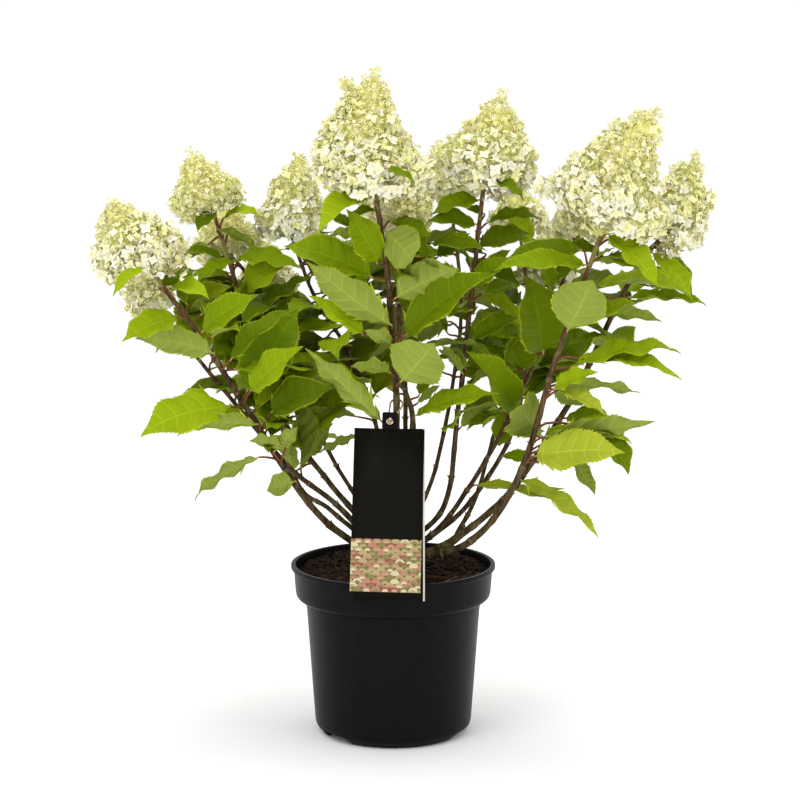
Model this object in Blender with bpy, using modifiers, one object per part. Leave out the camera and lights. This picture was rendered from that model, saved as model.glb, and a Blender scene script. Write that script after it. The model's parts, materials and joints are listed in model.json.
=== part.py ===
"""A potted panicle hydrangea: nursery pot, compost, woody stems, masses of leaves, blooms and a tag.

All sizes below are in millimetres, and the objects are built in metres. The origin is the centre
of the pot's flat underside, +Z is up and the front of the plant faces -Y.
"""

import math
import random

import bmesh
import bpy
from mathutils import Euler, Vector, noise

MM = 0.001
MERGE = 0.00001          # merge distance of modifiers and welds, in metres
FIT_GAP = 0.35           # between touching neighbours
SOCKET_GAP = 0.6         # round a stem that runs through another piece

# ---- pot and compost -------------------------------------------------------------------------

POT_HEIGHT = 192.4
POT_WALL = 2.2
POT_STEPS = 32
RIM_RADIUS = 115.0
BAND_RADIUS = 111.2      # of the tall band under the rim's bead
BAND_BOTTOM = 151.0
BODY_TOP_RADIUS = 98.4
BODY_BOTTOM_RADIUS = 88.4
BODY_BOTTOM = 12.0
FOOT_RADIUS = 79.5
FLOOR = 2.5              # thickness of the pot's floor
NOTCH_COUNT = 3          # drain notches round the foot
NOTCH_FIRST = -51.0      # degrees from the front, towards the right
NOTCH_WIDTH = 44.0
NOTCH_HEIGHT = 8.5
NOTCH_DEPTH = 26.0
NOTCH_TAPER = 0.86       # width at a notch's top, as part of the width at the floor

COMPOST_LEVEL = 183.0
COMPOST_HEAP = 3.0       # higher in the middle
COMPOST_SLOPE = 4.0      # higher at the back
COMPOST_BUMP = 2.2       # height of its seeded unevenness
COMPOST_BUMP_SCALE = 0.045
COMPOST_STEPS = 20
COMPOST_RINGS = (26.0, 54.0, 84.0)

# ---- stems -----------------------------------------------------------------------------------

BASE_CENTRE = (4.0, -4.0, 200.0)   # of the woody knot that the stems grow from
BASE_SIZE = (23.0, 21.0, 25.0)
BASE_CUT = 180.0                   # its flat cut, just under the compost's surface
BASE_FLARE = 0.35                  # how much wider it grows towards its foot
BASE_UNEVEN = 0.16
BASE_UNEVEN_SCALE = 1.9
STEM_SEGMENTS = 9

# name: (radius at the foot, radius at the tip, route from the foot to the bloom)
STEMS = {
    "stem_far_left": (4.2, 2.4, ((-14, -12, 197), (-89, -26, 260), (-166, -48, 385),
                                 (-206, -60, 452), (-265, -75, 538))),
    "stem_low_left": (3.6, 1.9, ((-17, -3, 207), (-62, -2, 258), (-117, -3, 303),
                                 (-186, -5, 387), (-266, -5, 486))),
    "stem_back_left": (3.0, 1.8, ((-17, 8, 205), (-72, 36, 246), (-112, 85, 270),
                                  (-140, 150, 370), (-150, 196, 478))),
    "stem_upper_left": (3.4, 2.2, ((-13, 5, 213), (-82, 18, 293), (-143, 36, 380),
                                   (-167, 48, 470), (-205, 60, 590))),
    "stem_behind_left": (2.6, 1.8, ((-9, 11, 214), (-70, 58, 302), (-135, 108, 424),
                                    (-162, 124, 492), (-190, 132, 530))),
    "stem_inner_left": (2.6, 1.9, ((-5, 10, 218), (-20, 45, 345), (-54, 65, 428),
                                   (-92, 76, 490), (-119, 72, 566))),
    "stem_centre": (4.0, 2.7, ((0, -16, 209), (4, -58, 374), (-1, -77, 465),
                               (-7, -93, 541), (-20, -110, 622))),
    "stem_centre_inner": (3.5, 2.2, ((9, -11, 217), (22, -25, 351), (11, -30, 402),
                                     (6, -34, 480), (10, -40, 574))),
    "stem_back_centre": (3.2, 2.1, ((3, 13, 212), (12, 75, 270), (14, 130, 370),
                                    (8, 168, 470), (2, 190, 566))),
    "stem_behind_right": (2.6, 1.9, ((12, 7, 217), (44, 38, 280), (68, 88, 380),
                                     (78, 105, 478), (64, 112, 602))),
    "stem_inner_right": (3.3, 2.4, ((14, -4, 213), (58, -9, 262), (72, -14, 366),
                                    (85, -18, 486), (100, -20, 626))),
    "stem_upper_right": (3.1, 2.1, ((18, -1, 207), (61, 10, 241), (120, 26, 332),
                                    (164, 34, 430), (208, 44, 558))),
    "stem_back_right": (3.1, 2.0, ((17, 6, 202), (86, 31, 254), (141, 80, 341),
                                   (156, 116, 460), (146, 130, 562))),
    "stem_low_back_right": (2.6, 1.8, ((71, -6, 226), (92, 10, 262), (108, 48, 305),
                                       (142, 130, 403), (180, 172, 496))),
    "stem_front_right": (4.3, 2.6, ((21, -17, 200), (87, -35, 225), (138, -50, 300),
                                    (177, -68, 435), (222, -84, 568))),
    "stem_far_right": (3.9, 2.4, ((67, -16, 220), (131, -2, 274), (199, 15, 374),
                                  (241, 25, 461), (280, 29, 535), (310, 30, 562))),
}

# The short woody arm on the right ends in an old pruning cut.
ARM_RADII = (7.0, 5.2)
ARM_ROUTE = ((18, -9, 199), (40, -14, 208), (64, -14, 223), (82, -14, 240))

# ---- blooms ----------------------------------------------------------------------------------

BLOOM_SIDES = 9
BLOOM_UNEVEN = 0.26
BLOOM_UNEVEN_SCALE = 1.6
BLOOM_SEAT = 5.0         # radius of the flat that sits on the stem's tip
BLOOM_CLEAR = 3.0        # room that the leaves leave round a bloom

# stem: (apex, half width at the skirt, how far the skirt hangs below the stem's tip, where a
# negative skirt starts above the tip)
BLOOMS = {
    "stem_far_left": ((-304, -80, 611), 50, 0),
    "stem_low_left": ((-290, -8, 528), 27, 4),
    "stem_back_left": ((-152, 204, 540), 36, 2),
    "stem_upper_left": ((-227, 60, 654), 42, 4),
    "stem_behind_left": ((-200, 142, 590), 44, 2),
    "stem_inner_left": ((-110, 74, 652), 43, 6),
    "stem_centre": ((-16, -112, 749), 64, 2),
    "stem_centre_inner": ((26, -44, 628), 32, 4),
    "stem_back_centre": ((4, 202, 660), 44, 2),
    "stem_behind_right": ((52, 118, 664), 44, 2),
    "stem_inner_right": ((118, -22, 720), 55, 2),
    "stem_upper_right": ((205, 56, 616), 33, 2),
    "stem_back_right": ((143, 138, 608), 38, 2),
    "stem_low_back_right": ((188, 186, 560), 36, 2),
    "stem_front_right": ((281, -94, 704), 67, -10),
    "stem_far_right": ((338, 30, 652), 42, 4),
}

# height along the bloom and its radius there, as parts of its length and half width
BLOOM_PROFILE = ((0.03, 0.84), (0.13, 1.0), (0.34, 0.87), (0.62, 0.55), (0.88, 0.22))

# ---- masses of leaves ------------------------------------------------------------------------

MASS_GAP = 7.0           # open space between neighbouring masses
MASS_LOBES = 6           # seeded lobes on each mass
LOBE_WIDTH = 0.42        # radians
LOBE_RISE = (0.12, 0.30)  # of a mass's radius
LOBE_JITTER = 0.25
MASS_UNEVEN = 0.16
MASS_UNEVEN_SCALE = 1.7
MASS_REACH = 1.6         # masses further apart than this many of their radii aren't divided
MASS_KEEP = 0.52         # share of the facets kept before the stems' ways are cut
TIP_SHOULDER = 0.22      # how far the skin round a leaf tip follows it

# name: (centre, radii, leaf tips that reach the crown's outline)
MASSES = {
    "leaves_far_left": ((-218, -48, 446), (50, 58, 62), ((-298, -60, 449), (-245, -118, 474))),
    "leaves_low_left": ((-180, -62, 343), (58, 58, 48),
                        ((-272, -105, 357), (-217, -60, 274), (-131, -30, 266))),
    "leaves_upper_left": ((-168, 66, 492), (60, 74, 56), ((-130, 30, 572), (-238, 108, 520))),
    "leaves_inner_left": ((-98, 0, 395), (58, 70, 74), ((-70, 10, 290), (-118, -104, 430))),
    "leaves_centre_front": ((-10, -125, 490), (70, 58, 92),
                            ((20, -208, 449), (-72, -196, 540), (-62, -128, 606))),
    "leaves_centre_back": ((-30, 112, 470), (76, 70, 100), ((-60, 200, 520), (-40, 120, 330))),
    "leaves_inner_right": ((92, -25, 484), (60, 82, 94),
                           ((62, -110, 590), (120, -120, 440), (58, -10, 612))),
    "leaves_upper_right": ((206, -100, 482), (66, 64, 66),
                           ((204, -182, 500), (262, -150, 540), (152, -60, 566))),
    "leaves_far_right": ((264, 36, 464), (52, 72, 58),
                         ((352, 20, 482), (318, -20, 405), (300, 118, 470))),
    "leaves_low_right": ((210, -58, 360), (58, 60, 46),
                         ((288, -60, 368), (251, -95, 338), (225, -30, 232), (228, -140, 380))),
    "leaves_front_low": ((94, -80, 375), (46, 78, 42), ((114, -176, 372), (58, -168, 390))),
    "leaves_back_left": ((-142, 176, 412), (80, 66, 84),
                         ((-236, 210, 400), (-150, 262, 430), (-110, 200, 290))),
    "leaves_back_right": ((150, 160, 420), (86, 70, 88),
                          ((262, 190, 420), (160, 262, 440), (120, 200, 300))),
}

# ---- tag -------------------------------------------------------------------------------------

TAG_LEAN = 14.4          # degrees that the cards lean back from the pot's rim to the stem
TAG_THICKNESS = 0.7
TAG_BOTTOM = (-8.5, -123.4, 186.0)   # bottom centre of the front card
TAG_WIDTH = 74.0
TAG_LENGTH = 184.0
TAG_TURN = 1.6           # degrees that the front card hangs out of true
NECK_WIDTH = 16.5
NECK_LENGTH = 18.0
EYELET_RADIUS = 5.6
EYELET_PLACE = 0.6       # of the neck's length
EYELET_SIDES = 20
BACK_CARD_SPACE = 1.2    # behind the front card
BACK_CARD_LENGTH = 194.0
STRING_RADIUS = 0.9
STRING_RISE = 17.0       # from the eyelet to where the string holds the stem
STRING_SLACK = 1.9       # between the string and the stem it is tied round
STRING_TURN = 2.3        # radius of its turn in front of the eyelet
STRING_LEAD = 1.9        # how far in front of the eyelet that turn is centred
STRING_ARC_STEPS = 12

# ---- materials: colour, roughness, metallic --------------------------------------------------

MATERIALS = {
    "pot_plastic": ((0.012, 0.012, 0.013), 0.42),
    "compost": ((0.030, 0.017, 0.009), 0.95),
    "bark": ((0.090, 0.048, 0.028), 0.75),
    "leaf": ((0.105, 0.235, 0.018), 0.50),
    "blossom": ((0.660, 0.680, 0.330), 0.60),
    "card": ((0.010, 0.009, 0.008), 0.45),
    "string": ((0.480, 0.340, 0.180), 0.85),
}


def clear_scene():
    for item in list(bpy.data.objects):
        bpy.data.objects.remove(item, do_unlink=True)


def new_collection(name):
    collection = bpy.data.collections.new(name)
    bpy.context.scene.collection.children.link(collection)
    return collection


def make_materials():
    made = {}
    for name, (colour, roughness) in MATERIALS.items():
        material = bpy.data.materials.new(name)
        material.use_nodes = True
        shader = material.node_tree.nodes["Principled BSDF"]
        shader.inputs["Base Color"].default_value = (*colour, 1.0)
        shader.inputs["Roughness"].default_value = roughness
        shader.inputs["Metallic"].default_value = 0.0
        made[name] = material
    return made


def metres(point):
    return Vector(point) * MM


def add_object(name, data, collection, material=None):
    item = bpy.data.objects.new(name, data)
    collection.objects.link(item)
    if material is not None:
        data.materials.append(material)
    return item


def add_cutter(name, mesh, cutters):
    cutter = add_object(name, mesh, cutters)
    cutter.hide_render = True
    cutter.display_type = "WIRE"
    return cutter


def mesh_from(item):
    """The evaluated mesh of an object, welded and with flat n-gons kept as they are."""
    bpy.context.view_layer.update()
    graph = bpy.context.evaluated_depsgraph_get()
    mesh = bpy.data.meshes.new_from_object(item.evaluated_get(graph))
    shape = bmesh.new()
    shape.from_mesh(mesh)
    bmesh.ops.remove_doubles(shape, verts=shape.verts, dist=MERGE)
    bmesh.ops.recalc_face_normals(shape, faces=shape.faces)
    shape.to_mesh(mesh)
    shape.free()
    return mesh


def keep_largest_shell(mesh):
    """Drop the loose crumbs that a cut can leave, so that one closed body remains."""
    shape = bmesh.new()
    shape.from_mesh(mesh)
    unseen = set(shape.verts)
    shells = []
    while unseen:
        shell = set()
        stack = [unseen.pop()]
        while stack:
            vert = stack.pop()
            shell.add(vert)
            near = [edge.other_vert(vert) for edge in vert.link_edges]
            fresh = [other for other in near if other in unseen]
            unseen.difference_update(fresh)
            stack.extend(fresh)
        shells.append(shell)
    shells.sort(key=len)
    crumbs = [vert for shell in shells[:-1] for vert in shell]
    bmesh.ops.delete(shape, geom=crumbs, context="VERTS")
    bmesh.ops.triangulate(shape, faces=shape.faces)
    bmesh.ops.dissolve_degenerate(shape, dist=MERGE, edges=shape.edges)
    shape.to_mesh(mesh)
    shape.free()


def boxes_meet(one, other):
    """True where the world boxes of two objects overlap."""
    spans = []
    for item in (one, other):
        corners = [item.matrix_world @ vert.co for vert in item.data.vertices]
        spans.append([(min(c[axis] for c in corners), max(c[axis] for c in corners))
                      for axis in range(3)])
    return all(low_a < high_b and low_b < high_a
               for (low_a, high_a), (low_b, high_b) in zip(*spans))


def carve(target, cutters):
    """Cut a mesh object with every cutter whose box it meets, and keep its largest shell."""
    bpy.context.view_layer.update()
    used = [cutter for cutter in cutters if boxes_meet(target, cutter)]
    for cutter in used:
        cut = target.modifiers.new("cut", "BOOLEAN")
        cut.operation = "DIFFERENCE"
        cut.solver = "EXACT"
        cut.object = cutter
    if used:
        carved = mesh_from(target)
        target.modifiers.clear()
        target.data = carved
        keep_largest_shell(carved)


# ---- turned pieces ---------------------------------------------------------------------------

def turned(name, profile, steps, collection, material):
    """A solid of revolution: the profile runs down its outer side, from axis to axis."""
    mesh = bpy.data.meshes.new(name)
    points = [(radius * MM, 0.0, height * MM) for radius, height in profile]
    edges = [(index, index + 1) for index in range(len(points) - 1)]
    mesh.from_pydata(points, edges, [])
    item = add_object(name, mesh, collection, material)
    screw = item.modifiers.new("turn", "SCREW")
    screw.steps = steps
    screw.render_steps = steps
    screw.use_merge_vertices = True
    screw.merge_threshold = MERGE
    return item


def inner_wall():
    """The inside of the pot, from the floor up, as (radius, height)."""
    return ((FOOT_RADIUS - 5.5, FLOOR),
            (BODY_BOTTOM_RADIUS - POT_WALL - 1.2, BODY_BOTTOM - 2.0),
            (BODY_TOP_RADIUS - POT_WALL, BAND_BOTTOM - 1.0),
            (BAND_RADIUS - POT_WALL - 3.0, BAND_BOTTOM + 5.0),
            (BAND_RADIUS - POT_WALL, BAND_BOTTOM + 12.0),
            (BAND_RADIUS - POT_WALL + 0.9, POT_HEIGHT))


def make_pot(model, cutters, material):
    outside = ((RIM_RADIUS - 1.4, POT_HEIGHT), (RIM_RADIUS, POT_HEIGHT - 1.4),
               (RIM_RADIUS, POT_HEIGHT - 4.0), (BAND_RADIUS + 1.2, POT_HEIGHT - 6.0),
               (BAND_RADIUS, BAND_BOTTOM + 12.0), (BAND_RADIUS - 2.4, BAND_BOTTOM + 6.5),
               (BAND_RADIUS - 7.0, BAND_BOTTOM + 1.8), (BODY_TOP_RADIUS, BAND_BOTTOM),
               (BODY_BOTTOM_RADIUS, BODY_BOTTOM), (BODY_BOTTOM_RADIUS - 1.8, BODY_BOTTOM - 4.5),
               (FOOT_RADIUS, 0.0))
    profile = ((0.0, FLOOR), *inner_wall(), *outside, (0.0, 0.0))
    pot = turned("pot", profile, POT_STEPS, model, material)
    pot.data = mesh_from(pot)
    pot.modifiers.clear()

    notches = []
    for index in range(NOTCH_COUNT):
        shape = bmesh.new()
        bmesh.ops.create_cube(shape, size=1.0)
        for vert in shape.verts:
            taper = NOTCH_TAPER if vert.co.z > 0 else 1.0
            vert.co.x *= NOTCH_WIDTH * MM * taper
            vert.co.y *= NOTCH_DEPTH * MM
            vert.co.z *= 2.0 * NOTCH_HEIGHT * MM
        mesh = bpy.data.meshes.new("notch")
        shape.to_mesh(mesh)
        shape.free()
        notch = add_cutter(f"notch_cutter_{index}", mesh, cutters)
        angle = math.radians(NOTCH_FIRST + index * 360.0 / NOTCH_COUNT)
        reach = (FOOT_RADIUS + 1.0) * MM
        notch.location = (reach * math.sin(angle), -reach * math.cos(angle), 0.0)
        notch.rotation_euler = (0.0, 0.0, angle)
        notches.append(notch)
    carve(pot, notches)
    return pot


def compost_top(x, y):
    """Height of the compost's uneven surface, in millimetres."""
    radius = math.hypot(x, y)
    edge = inner_wall()[-1][0]
    heap = COMPOST_HEAP * (1.0 - (radius / edge) ** 2)
    slope = COMPOST_SLOPE * y / edge
    bump = COMPOST_BUMP * noise.noise(Vector((x, y, 80.0)) * COMPOST_BUMP_SCALE)
    return COMPOST_LEVEL + heap + slope + bump


def make_compost(model, material):
    fit = FIT_GAP / math.cos(math.pi / POT_STEPS) + RIM_RADIUS * (1 - math.cos(math.pi / POT_STEPS))
    wall = [(radius - fit, height + FIT_GAP) for radius, height in inner_wall()[:-1]]
    edge = inner_wall()[-1][0] - fit - 0.4
    profile = [(0.0, COMPOST_LEVEL)]
    profile += [(radius, COMPOST_LEVEL) for radius in COMPOST_RINGS]
    profile += [(edge, COMPOST_LEVEL)]
    profile += list(reversed(wall))
    profile += [(0.0, FLOOR + FIT_GAP)]
    compost = turned("compost", profile, COMPOST_STEPS, model, material)
    compost.data = mesh_from(compost)
    compost.modifiers.clear()
    for vert in compost.data.vertices:
        if abs(vert.co.z / MM - COMPOST_LEVEL) < 0.01:
            vert.co.z = compost_top(vert.co.x / MM, vert.co.y / MM) * MM
    return compost


# ---- stems -----------------------------------------------------------------------------------

def smooth_route(points, count):
    """Points at even steps along a Catmull-Rom curve through the given ones."""
    anchors = [Vector(point) for point in points]
    anchors = [2 * anchors[0] - anchors[1], *anchors, 2 * anchors[-1] - anchors[-2]]
    spans = len(anchors) - 3
    route = []
    for step in range(count + 1):
        place = step / count * spans
        span = min(int(place), spans - 1)
        t = place - span
        before, start, end, after = anchors[span:span + 4]
        route.append(0.5 * (2 * start + (end - before) * t
                            + (2 * before - 5 * start + 4 * end - after) * t ** 2
                            + (3 * start - before - 3 * end + after) * t ** 3))
    return route


def point_at_height(route, height):
    """Where a rising route passes a height."""
    for low, high in zip(route, route[1:]):
        if low.z <= height <= high.z:
            return low.lerp(high, (height - low.z) / (high.z - low.z))
    return route[-1]


def limb_mesh(name, route, radii):
    """A tapering six-sided tube with closed ends, as a welded mesh."""
    curve = bpy.data.curves.new(name, "CURVE")
    curve.dimensions = "3D"
    curve.bevel_depth = MM
    curve.bevel_resolution = 1
    curve.use_fill_caps = True
    spline = curve.splines.new("POLY")
    spline.points.add(len(route) - 1)
    for index, (place, point) in enumerate(zip(route, spline.points)):
        share = index / (len(route) - 1)
        point.co = (*(place * MM), 1.0)
        point.radius = radii[0] + (radii[1] - radii[0]) * share
    holder = bpy.data.objects.new(name + "_curve", curve)
    bpy.context.scene.collection.objects.link(holder)
    mesh = mesh_from(holder)
    bpy.data.objects.remove(holder, do_unlink=True)
    bpy.data.curves.remove(curve)
    return mesh


def make_limb(name, points, radii, segments, model, cutters, material):
    """A limb and the slightly fatter cutter that makes room for it in its neighbours."""
    route = smooth_route(points, segments)
    limb = add_object(name, limb_mesh(name, route, radii), model, material)
    room = tuple(radius + SOCKET_GAP for radius in radii)
    ahead = (route[-1] - route[-2]).normalized()
    behind = (route[0] - route[1]).normalized()
    roomy = [route[0] + behind * SOCKET_GAP, *route[1:-1], route[-1] + ahead * SOCKET_GAP]
    cutter = add_cutter(name + "_room", limb_mesh(name + "_room", roomy, room), cutters)
    return limb, cutter


def make_woody_base(model, material):
    """The knot of old wood that the stems rise from, cut flat at its foot."""
    shape = bmesh.new()
    bmesh.ops.create_icosphere(shape, subdivisions=2, radius=1.0)
    for vert in shape.verts:
        swell = 1.0 + BASE_UNEVEN * noise.noise(vert.co * BASE_UNEVEN_SCALE)
        flare = 1.0 + BASE_FLARE * max(0.0, -vert.co.z)
        size = Vector(BASE_SIZE) * swell
        vert.co = Vector((vert.co.x * size.x * flare, vert.co.y * size.y * flare,
                          vert.co.z * size.z))
        vert.co = metres(vert.co + Vector(BASE_CENTRE))
    cut_flat(shape, metres((0, 0, BASE_CUT)), Vector((0, 0, -1)))
    mesh = bpy.data.meshes.new("woody_base")
    shape.to_mesh(mesh)
    shape.free()
    return add_object("woody_base", mesh, model, material)


def cut_flat(shape, point, normal):
    """Clear what lies beyond a plane and close the cut."""
    geometry = shape.verts[:] + shape.edges[:] + shape.faces[:]
    bmesh.ops.bisect_plane(shape, geom=geometry, plane_co=point, plane_no=normal,
                           clear_outer=True)
    rim = [edge for edge in shape.edges if edge.is_boundary]
    if rim:
        bmesh.ops.holes_fill(shape, edges=rim)


# ---- blooms ----------------------------------------------------------------------------------

def make_bloom(name, stem_route, apex, width, skirt, seed, model, material):
    """An uneven cone of blossom: its skirt hangs round the stem's tip and its apex leans."""
    dice = random.Random(seed)
    shift = Vector([dice.uniform(0, 50) for _ in range(3)])
    foot = stem_route[-1]
    stem_way = foot - stem_route[-2]
    axis = Vector(apex) - foot
    length = axis.length
    turn = axis.to_track_quat("Z", "Y").to_matrix()
    stem_turn = axis.rotation_difference(stem_way).to_matrix() @ turn
    rings = [(-skirt + (length + skirt) * share, width * part) for share, part in BLOOM_PROFILE]
    sides = [2 * math.pi * side / BLOOM_SIDES for side in range(BLOOM_SIDES)]

    shape = bmesh.new()
    seat = [Vector((BLOOM_SEAT * math.cos(angle), BLOOM_SEAT * math.sin(angle), FIT_GAP))
            for angle in sides]
    loops = [[shape.verts.new(metres(foot + stem_turn @ place)) for place in seat]]
    for height, radius in rings:
        loop = []
        for angle in sides:
            spot = Vector((math.cos(angle), math.sin(angle), height / width))
            out = radius * (1.0 + BLOOM_UNEVEN * noise.noise(spot * BLOOM_UNEVEN_SCALE + shift))
            place = Vector((out * math.cos(angle), out * math.sin(angle), height))
            loop.append(shape.verts.new(metres(foot + turn @ place)))
        loops.append(loop)
    for lower, upper in zip(loops, loops[1:]):
        for side in range(BLOOM_SIDES):
            after = (side + 1) % BLOOM_SIDES
            shape.faces.new((lower[side], lower[after], upper[after], upper[side]))
    top = shape.verts.new(metres(apex))
    for side in range(BLOOM_SIDES):
        after = (side + 1) % BLOOM_SIDES
        shape.faces.new((loops[-1][side], loops[-1][after], top))
    shape.faces.new(list(reversed(loops[0])))
    bmesh.ops.recalc_face_normals(shape, faces=shape.faces)
    mesh = bpy.data.meshes.new(name)
    shape.to_mesh(mesh)
    shape.free()
    mesh.shade_smooth()
    return add_object(name, mesh, model, material)


def swollen_copy(item, amount, cutters):
    """A cutter with an object's shape, pushed out along its normals."""
    mesh = item.data.copy()
    shape = bmesh.new()
    shape.from_mesh(mesh)
    shape.normal_update()
    moves = [vert.normal * amount * MM for vert in shape.verts]
    for vert, move in zip(shape.verts, moves):
        vert.co += move
    shape.to_mesh(mesh)
    shape.free()
    return add_cutter(item.name + "_room", mesh, cutters)


# ---- masses of leaves ------------------------------------------------------------------------

def golden_directions(count, dice):
    """Evenly spread directions, turned and jittered by the dice."""
    start = dice.uniform(0, 2 * math.pi)
    spread = []
    for index in range(count):
        height = 1.0 - (2.0 * index + 1.0) / count
        angle = start + index * math.pi * (3.0 - math.sqrt(5.0))
        flat = math.sqrt(1.0 - height * height)
        wander = Vector([dice.uniform(-LOBE_JITTER, LOBE_JITTER) for _ in range(3)])
        spread.append((Vector((flat * math.cos(angle), flat * math.sin(angle), height))
                       + wander).normalized())
    return spread


def mass_shape(centre, radii, tips, seed):
    """A closed uneven mass with seeded lobes, drawn out to the tips of its furthest leaves."""
    dice = random.Random(seed)
    lobes = [(way, dice.uniform(*LOBE_RISE)) for way in golden_directions(MASS_LOBES, dice)]
    shift = Vector([dice.uniform(0, 50) for _ in range(3)])
    shape = bmesh.new()
    bmesh.ops.create_icosphere(shape, subdivisions=3, radius=1.0)
    middle = Vector(centre)
    for vert in shape.verts:
        way = vert.co.normalized()
        reach = 1.0 + MASS_UNEVEN * noise.noise(way * MASS_UNEVEN_SCALE + shift)
        reach += sum(rise * math.exp(-(way.angle(lobe) / LOBE_WIDTH) ** 2) for lobe, rise in lobes)
        vert.co = middle + Vector((way.x * radii[0], way.y * radii[1], way.z * radii[2])) * reach
    for tip in tips:
        way = (Vector(tip) - middle).normalized()
        chosen = min(shape.verts, key=lambda vert: way.angle(vert.co - middle))
        for edge in chosen.link_edges:
            near = edge.other_vert(chosen)
            near.co = near.co.lerp(Vector(tip), TIP_SHOULDER)
        chosen.co = Vector(tip)
    return shape


def dividing_plane(one, other):
    """Where the gap between two masses runs: nearer to the smaller of them."""
    (start, size_a, _), (end, size_b, _) = one, other
    way = Vector(end) - Vector(start)
    along = way.normalized()
    reach_a = sum(abs(part) * size for part, size in zip(along, size_a))
    reach_b = sum(abs(part) * size for part, size in zip(along, size_b))
    point = Vector(start) + way * (reach_a / (reach_a + reach_b))
    meet = way.length < MASS_REACH * (reach_a + reach_b)
    return point, along, meet


def make_masses(model, cutters, material):
    masses = []
    for index, (name, row) in enumerate(MASSES.items()):
        shape = mass_shape(*row, seed=100 + index)
        for other_name, other in MASSES.items():
            if other_name == name:
                continue
            point, along, meet = dividing_plane(row, other)
            if meet:
                cut_flat(shape, point - along * MASS_GAP / 2, along)
        bmesh.ops.scale(shape, vec=(MM, MM, MM), verts=shape.verts)
        bmesh.ops.triangulate(shape, faces=shape.faces)
        bmesh.ops.remove_doubles(shape, verts=shape.verts, dist=0.5 * MM)
        bmesh.ops.recalc_face_normals(shape, faces=shape.faces)
        mesh = bpy.data.meshes.new(name)
        shape.to_mesh(mesh)
        shape.free()
        mesh.shade_smooth()
        mass = add_object(name, mesh, model, material)
        thin = mass.modifiers.new("thin", "DECIMATE")
        thin.ratio = MASS_KEEP
        mass.data = mesh_from(mass)
        mass.modifiers.clear()
        keep_largest_shell(mass.data)
        masses.append(mass)
        carve(mass, cutters)
    return masses


# ---- tag -------------------------------------------------------------------------------------

def card_mesh(name, width, length, turn, centre, neck):
    """A thin card standing on its short edge, with a necked tab and an eyelet if it has one."""
    curve = bpy.data.curves.new(name, "CURVE")
    curve.dimensions = "2D"
    curve.fill_mode = "BOTH"
    curve.extrude = TAG_THICKNESS * MM / 2
    half = width / 2
    outline = [(-half, 0), (half, 0), (half, length)]
    if neck:
        outline += [(NECK_WIDTH / 2, length), (NECK_WIDTH / 2, length + NECK_LENGTH),
                    (-NECK_WIDTH / 2, length + NECK_LENGTH), (-NECK_WIDTH / 2, length)]
    outline += [(-half, length)]
    loops = [outline]
    if neck:
        height = length + NECK_LENGTH * EYELET_PLACE
        loops.append([(EYELET_RADIUS * math.cos(a), height + EYELET_RADIUS * math.sin(a))
                      for a in (2 * math.pi * k / EYELET_SIDES for k in range(EYELET_SIDES))])
    for loop in loops:
        spline = curve.splines.new("POLY")
        spline.points.add(len(loop) - 1)
        spline.use_cyclic_u = True
        for place, point in zip(loop, spline.points):
            point.co = (place[0] * MM, place[1] * MM, 0.0, 1.0)
    holder = bpy.data.objects.new(name + "_curve", curve)
    bpy.context.scene.collection.objects.link(holder)
    mesh = mesh_from(holder)
    bpy.data.objects.remove(holder, do_unlink=True)
    bpy.data.curves.remove(curve)
    stand = Euler((math.radians(90 - TAG_LEAN), 0, 0)).to_matrix()
    hang = Euler((0, 0, math.radians(turn))).to_matrix()
    for vert in mesh.vertices:
        vert.co = stand @ (hang @ vert.co) + metres(centre)
    return mesh


def tag_frame():
    """Unit vectors of the leaning cards: up along them, and out of their faces to the front."""
    lean = math.radians(TAG_LEAN)
    up = Vector((0, math.sin(lean), math.cos(lean)))
    out = Vector((0, -math.cos(lean), math.sin(lean)))
    return up, out


def string_loop(up):
    """The string's route: a closed loop through the eyelet and round the central stem."""
    turn = math.radians(TAG_TURN)
    height = TAG_LENGTH + NECK_LENGTH * EYELET_PLACE
    eyelet = (Vector(TAG_BOTTOM) + Vector((height * math.sin(turn), 0, 0))
              + up * height * math.cos(turn))
    stem_radius, _, stem_points = STEMS["stem_centre"]
    hold = point_at_height(smooth_route(stem_points, STEM_SEGMENTS), eyelet.z + STRING_RISE)
    way = (hold - eyelet).normalized()
    span = (hold - eyelet).length
    side = (Vector((1, 0, 0)) - way * way.x).normalized()
    clear = stem_radius + STRING_RADIUS + STRING_SLACK
    leave = math.pi - math.acos((clear - STRING_TURN) / (span + STRING_LEAD))
    loop = []
    for centre, radius, first, last in ((span, clear, -leave, leave),
                                        (-STRING_LEAD, STRING_TURN, leave, 2 * math.pi - leave)):
        for step in range(STRING_ARC_STEPS):
            angle = first + (last - first) * step / (STRING_ARC_STEPS - 1)
            loop.append(eyelet + way * (centre + radius * math.cos(angle))
                        + side * radius * math.sin(angle))
    return loop


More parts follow.
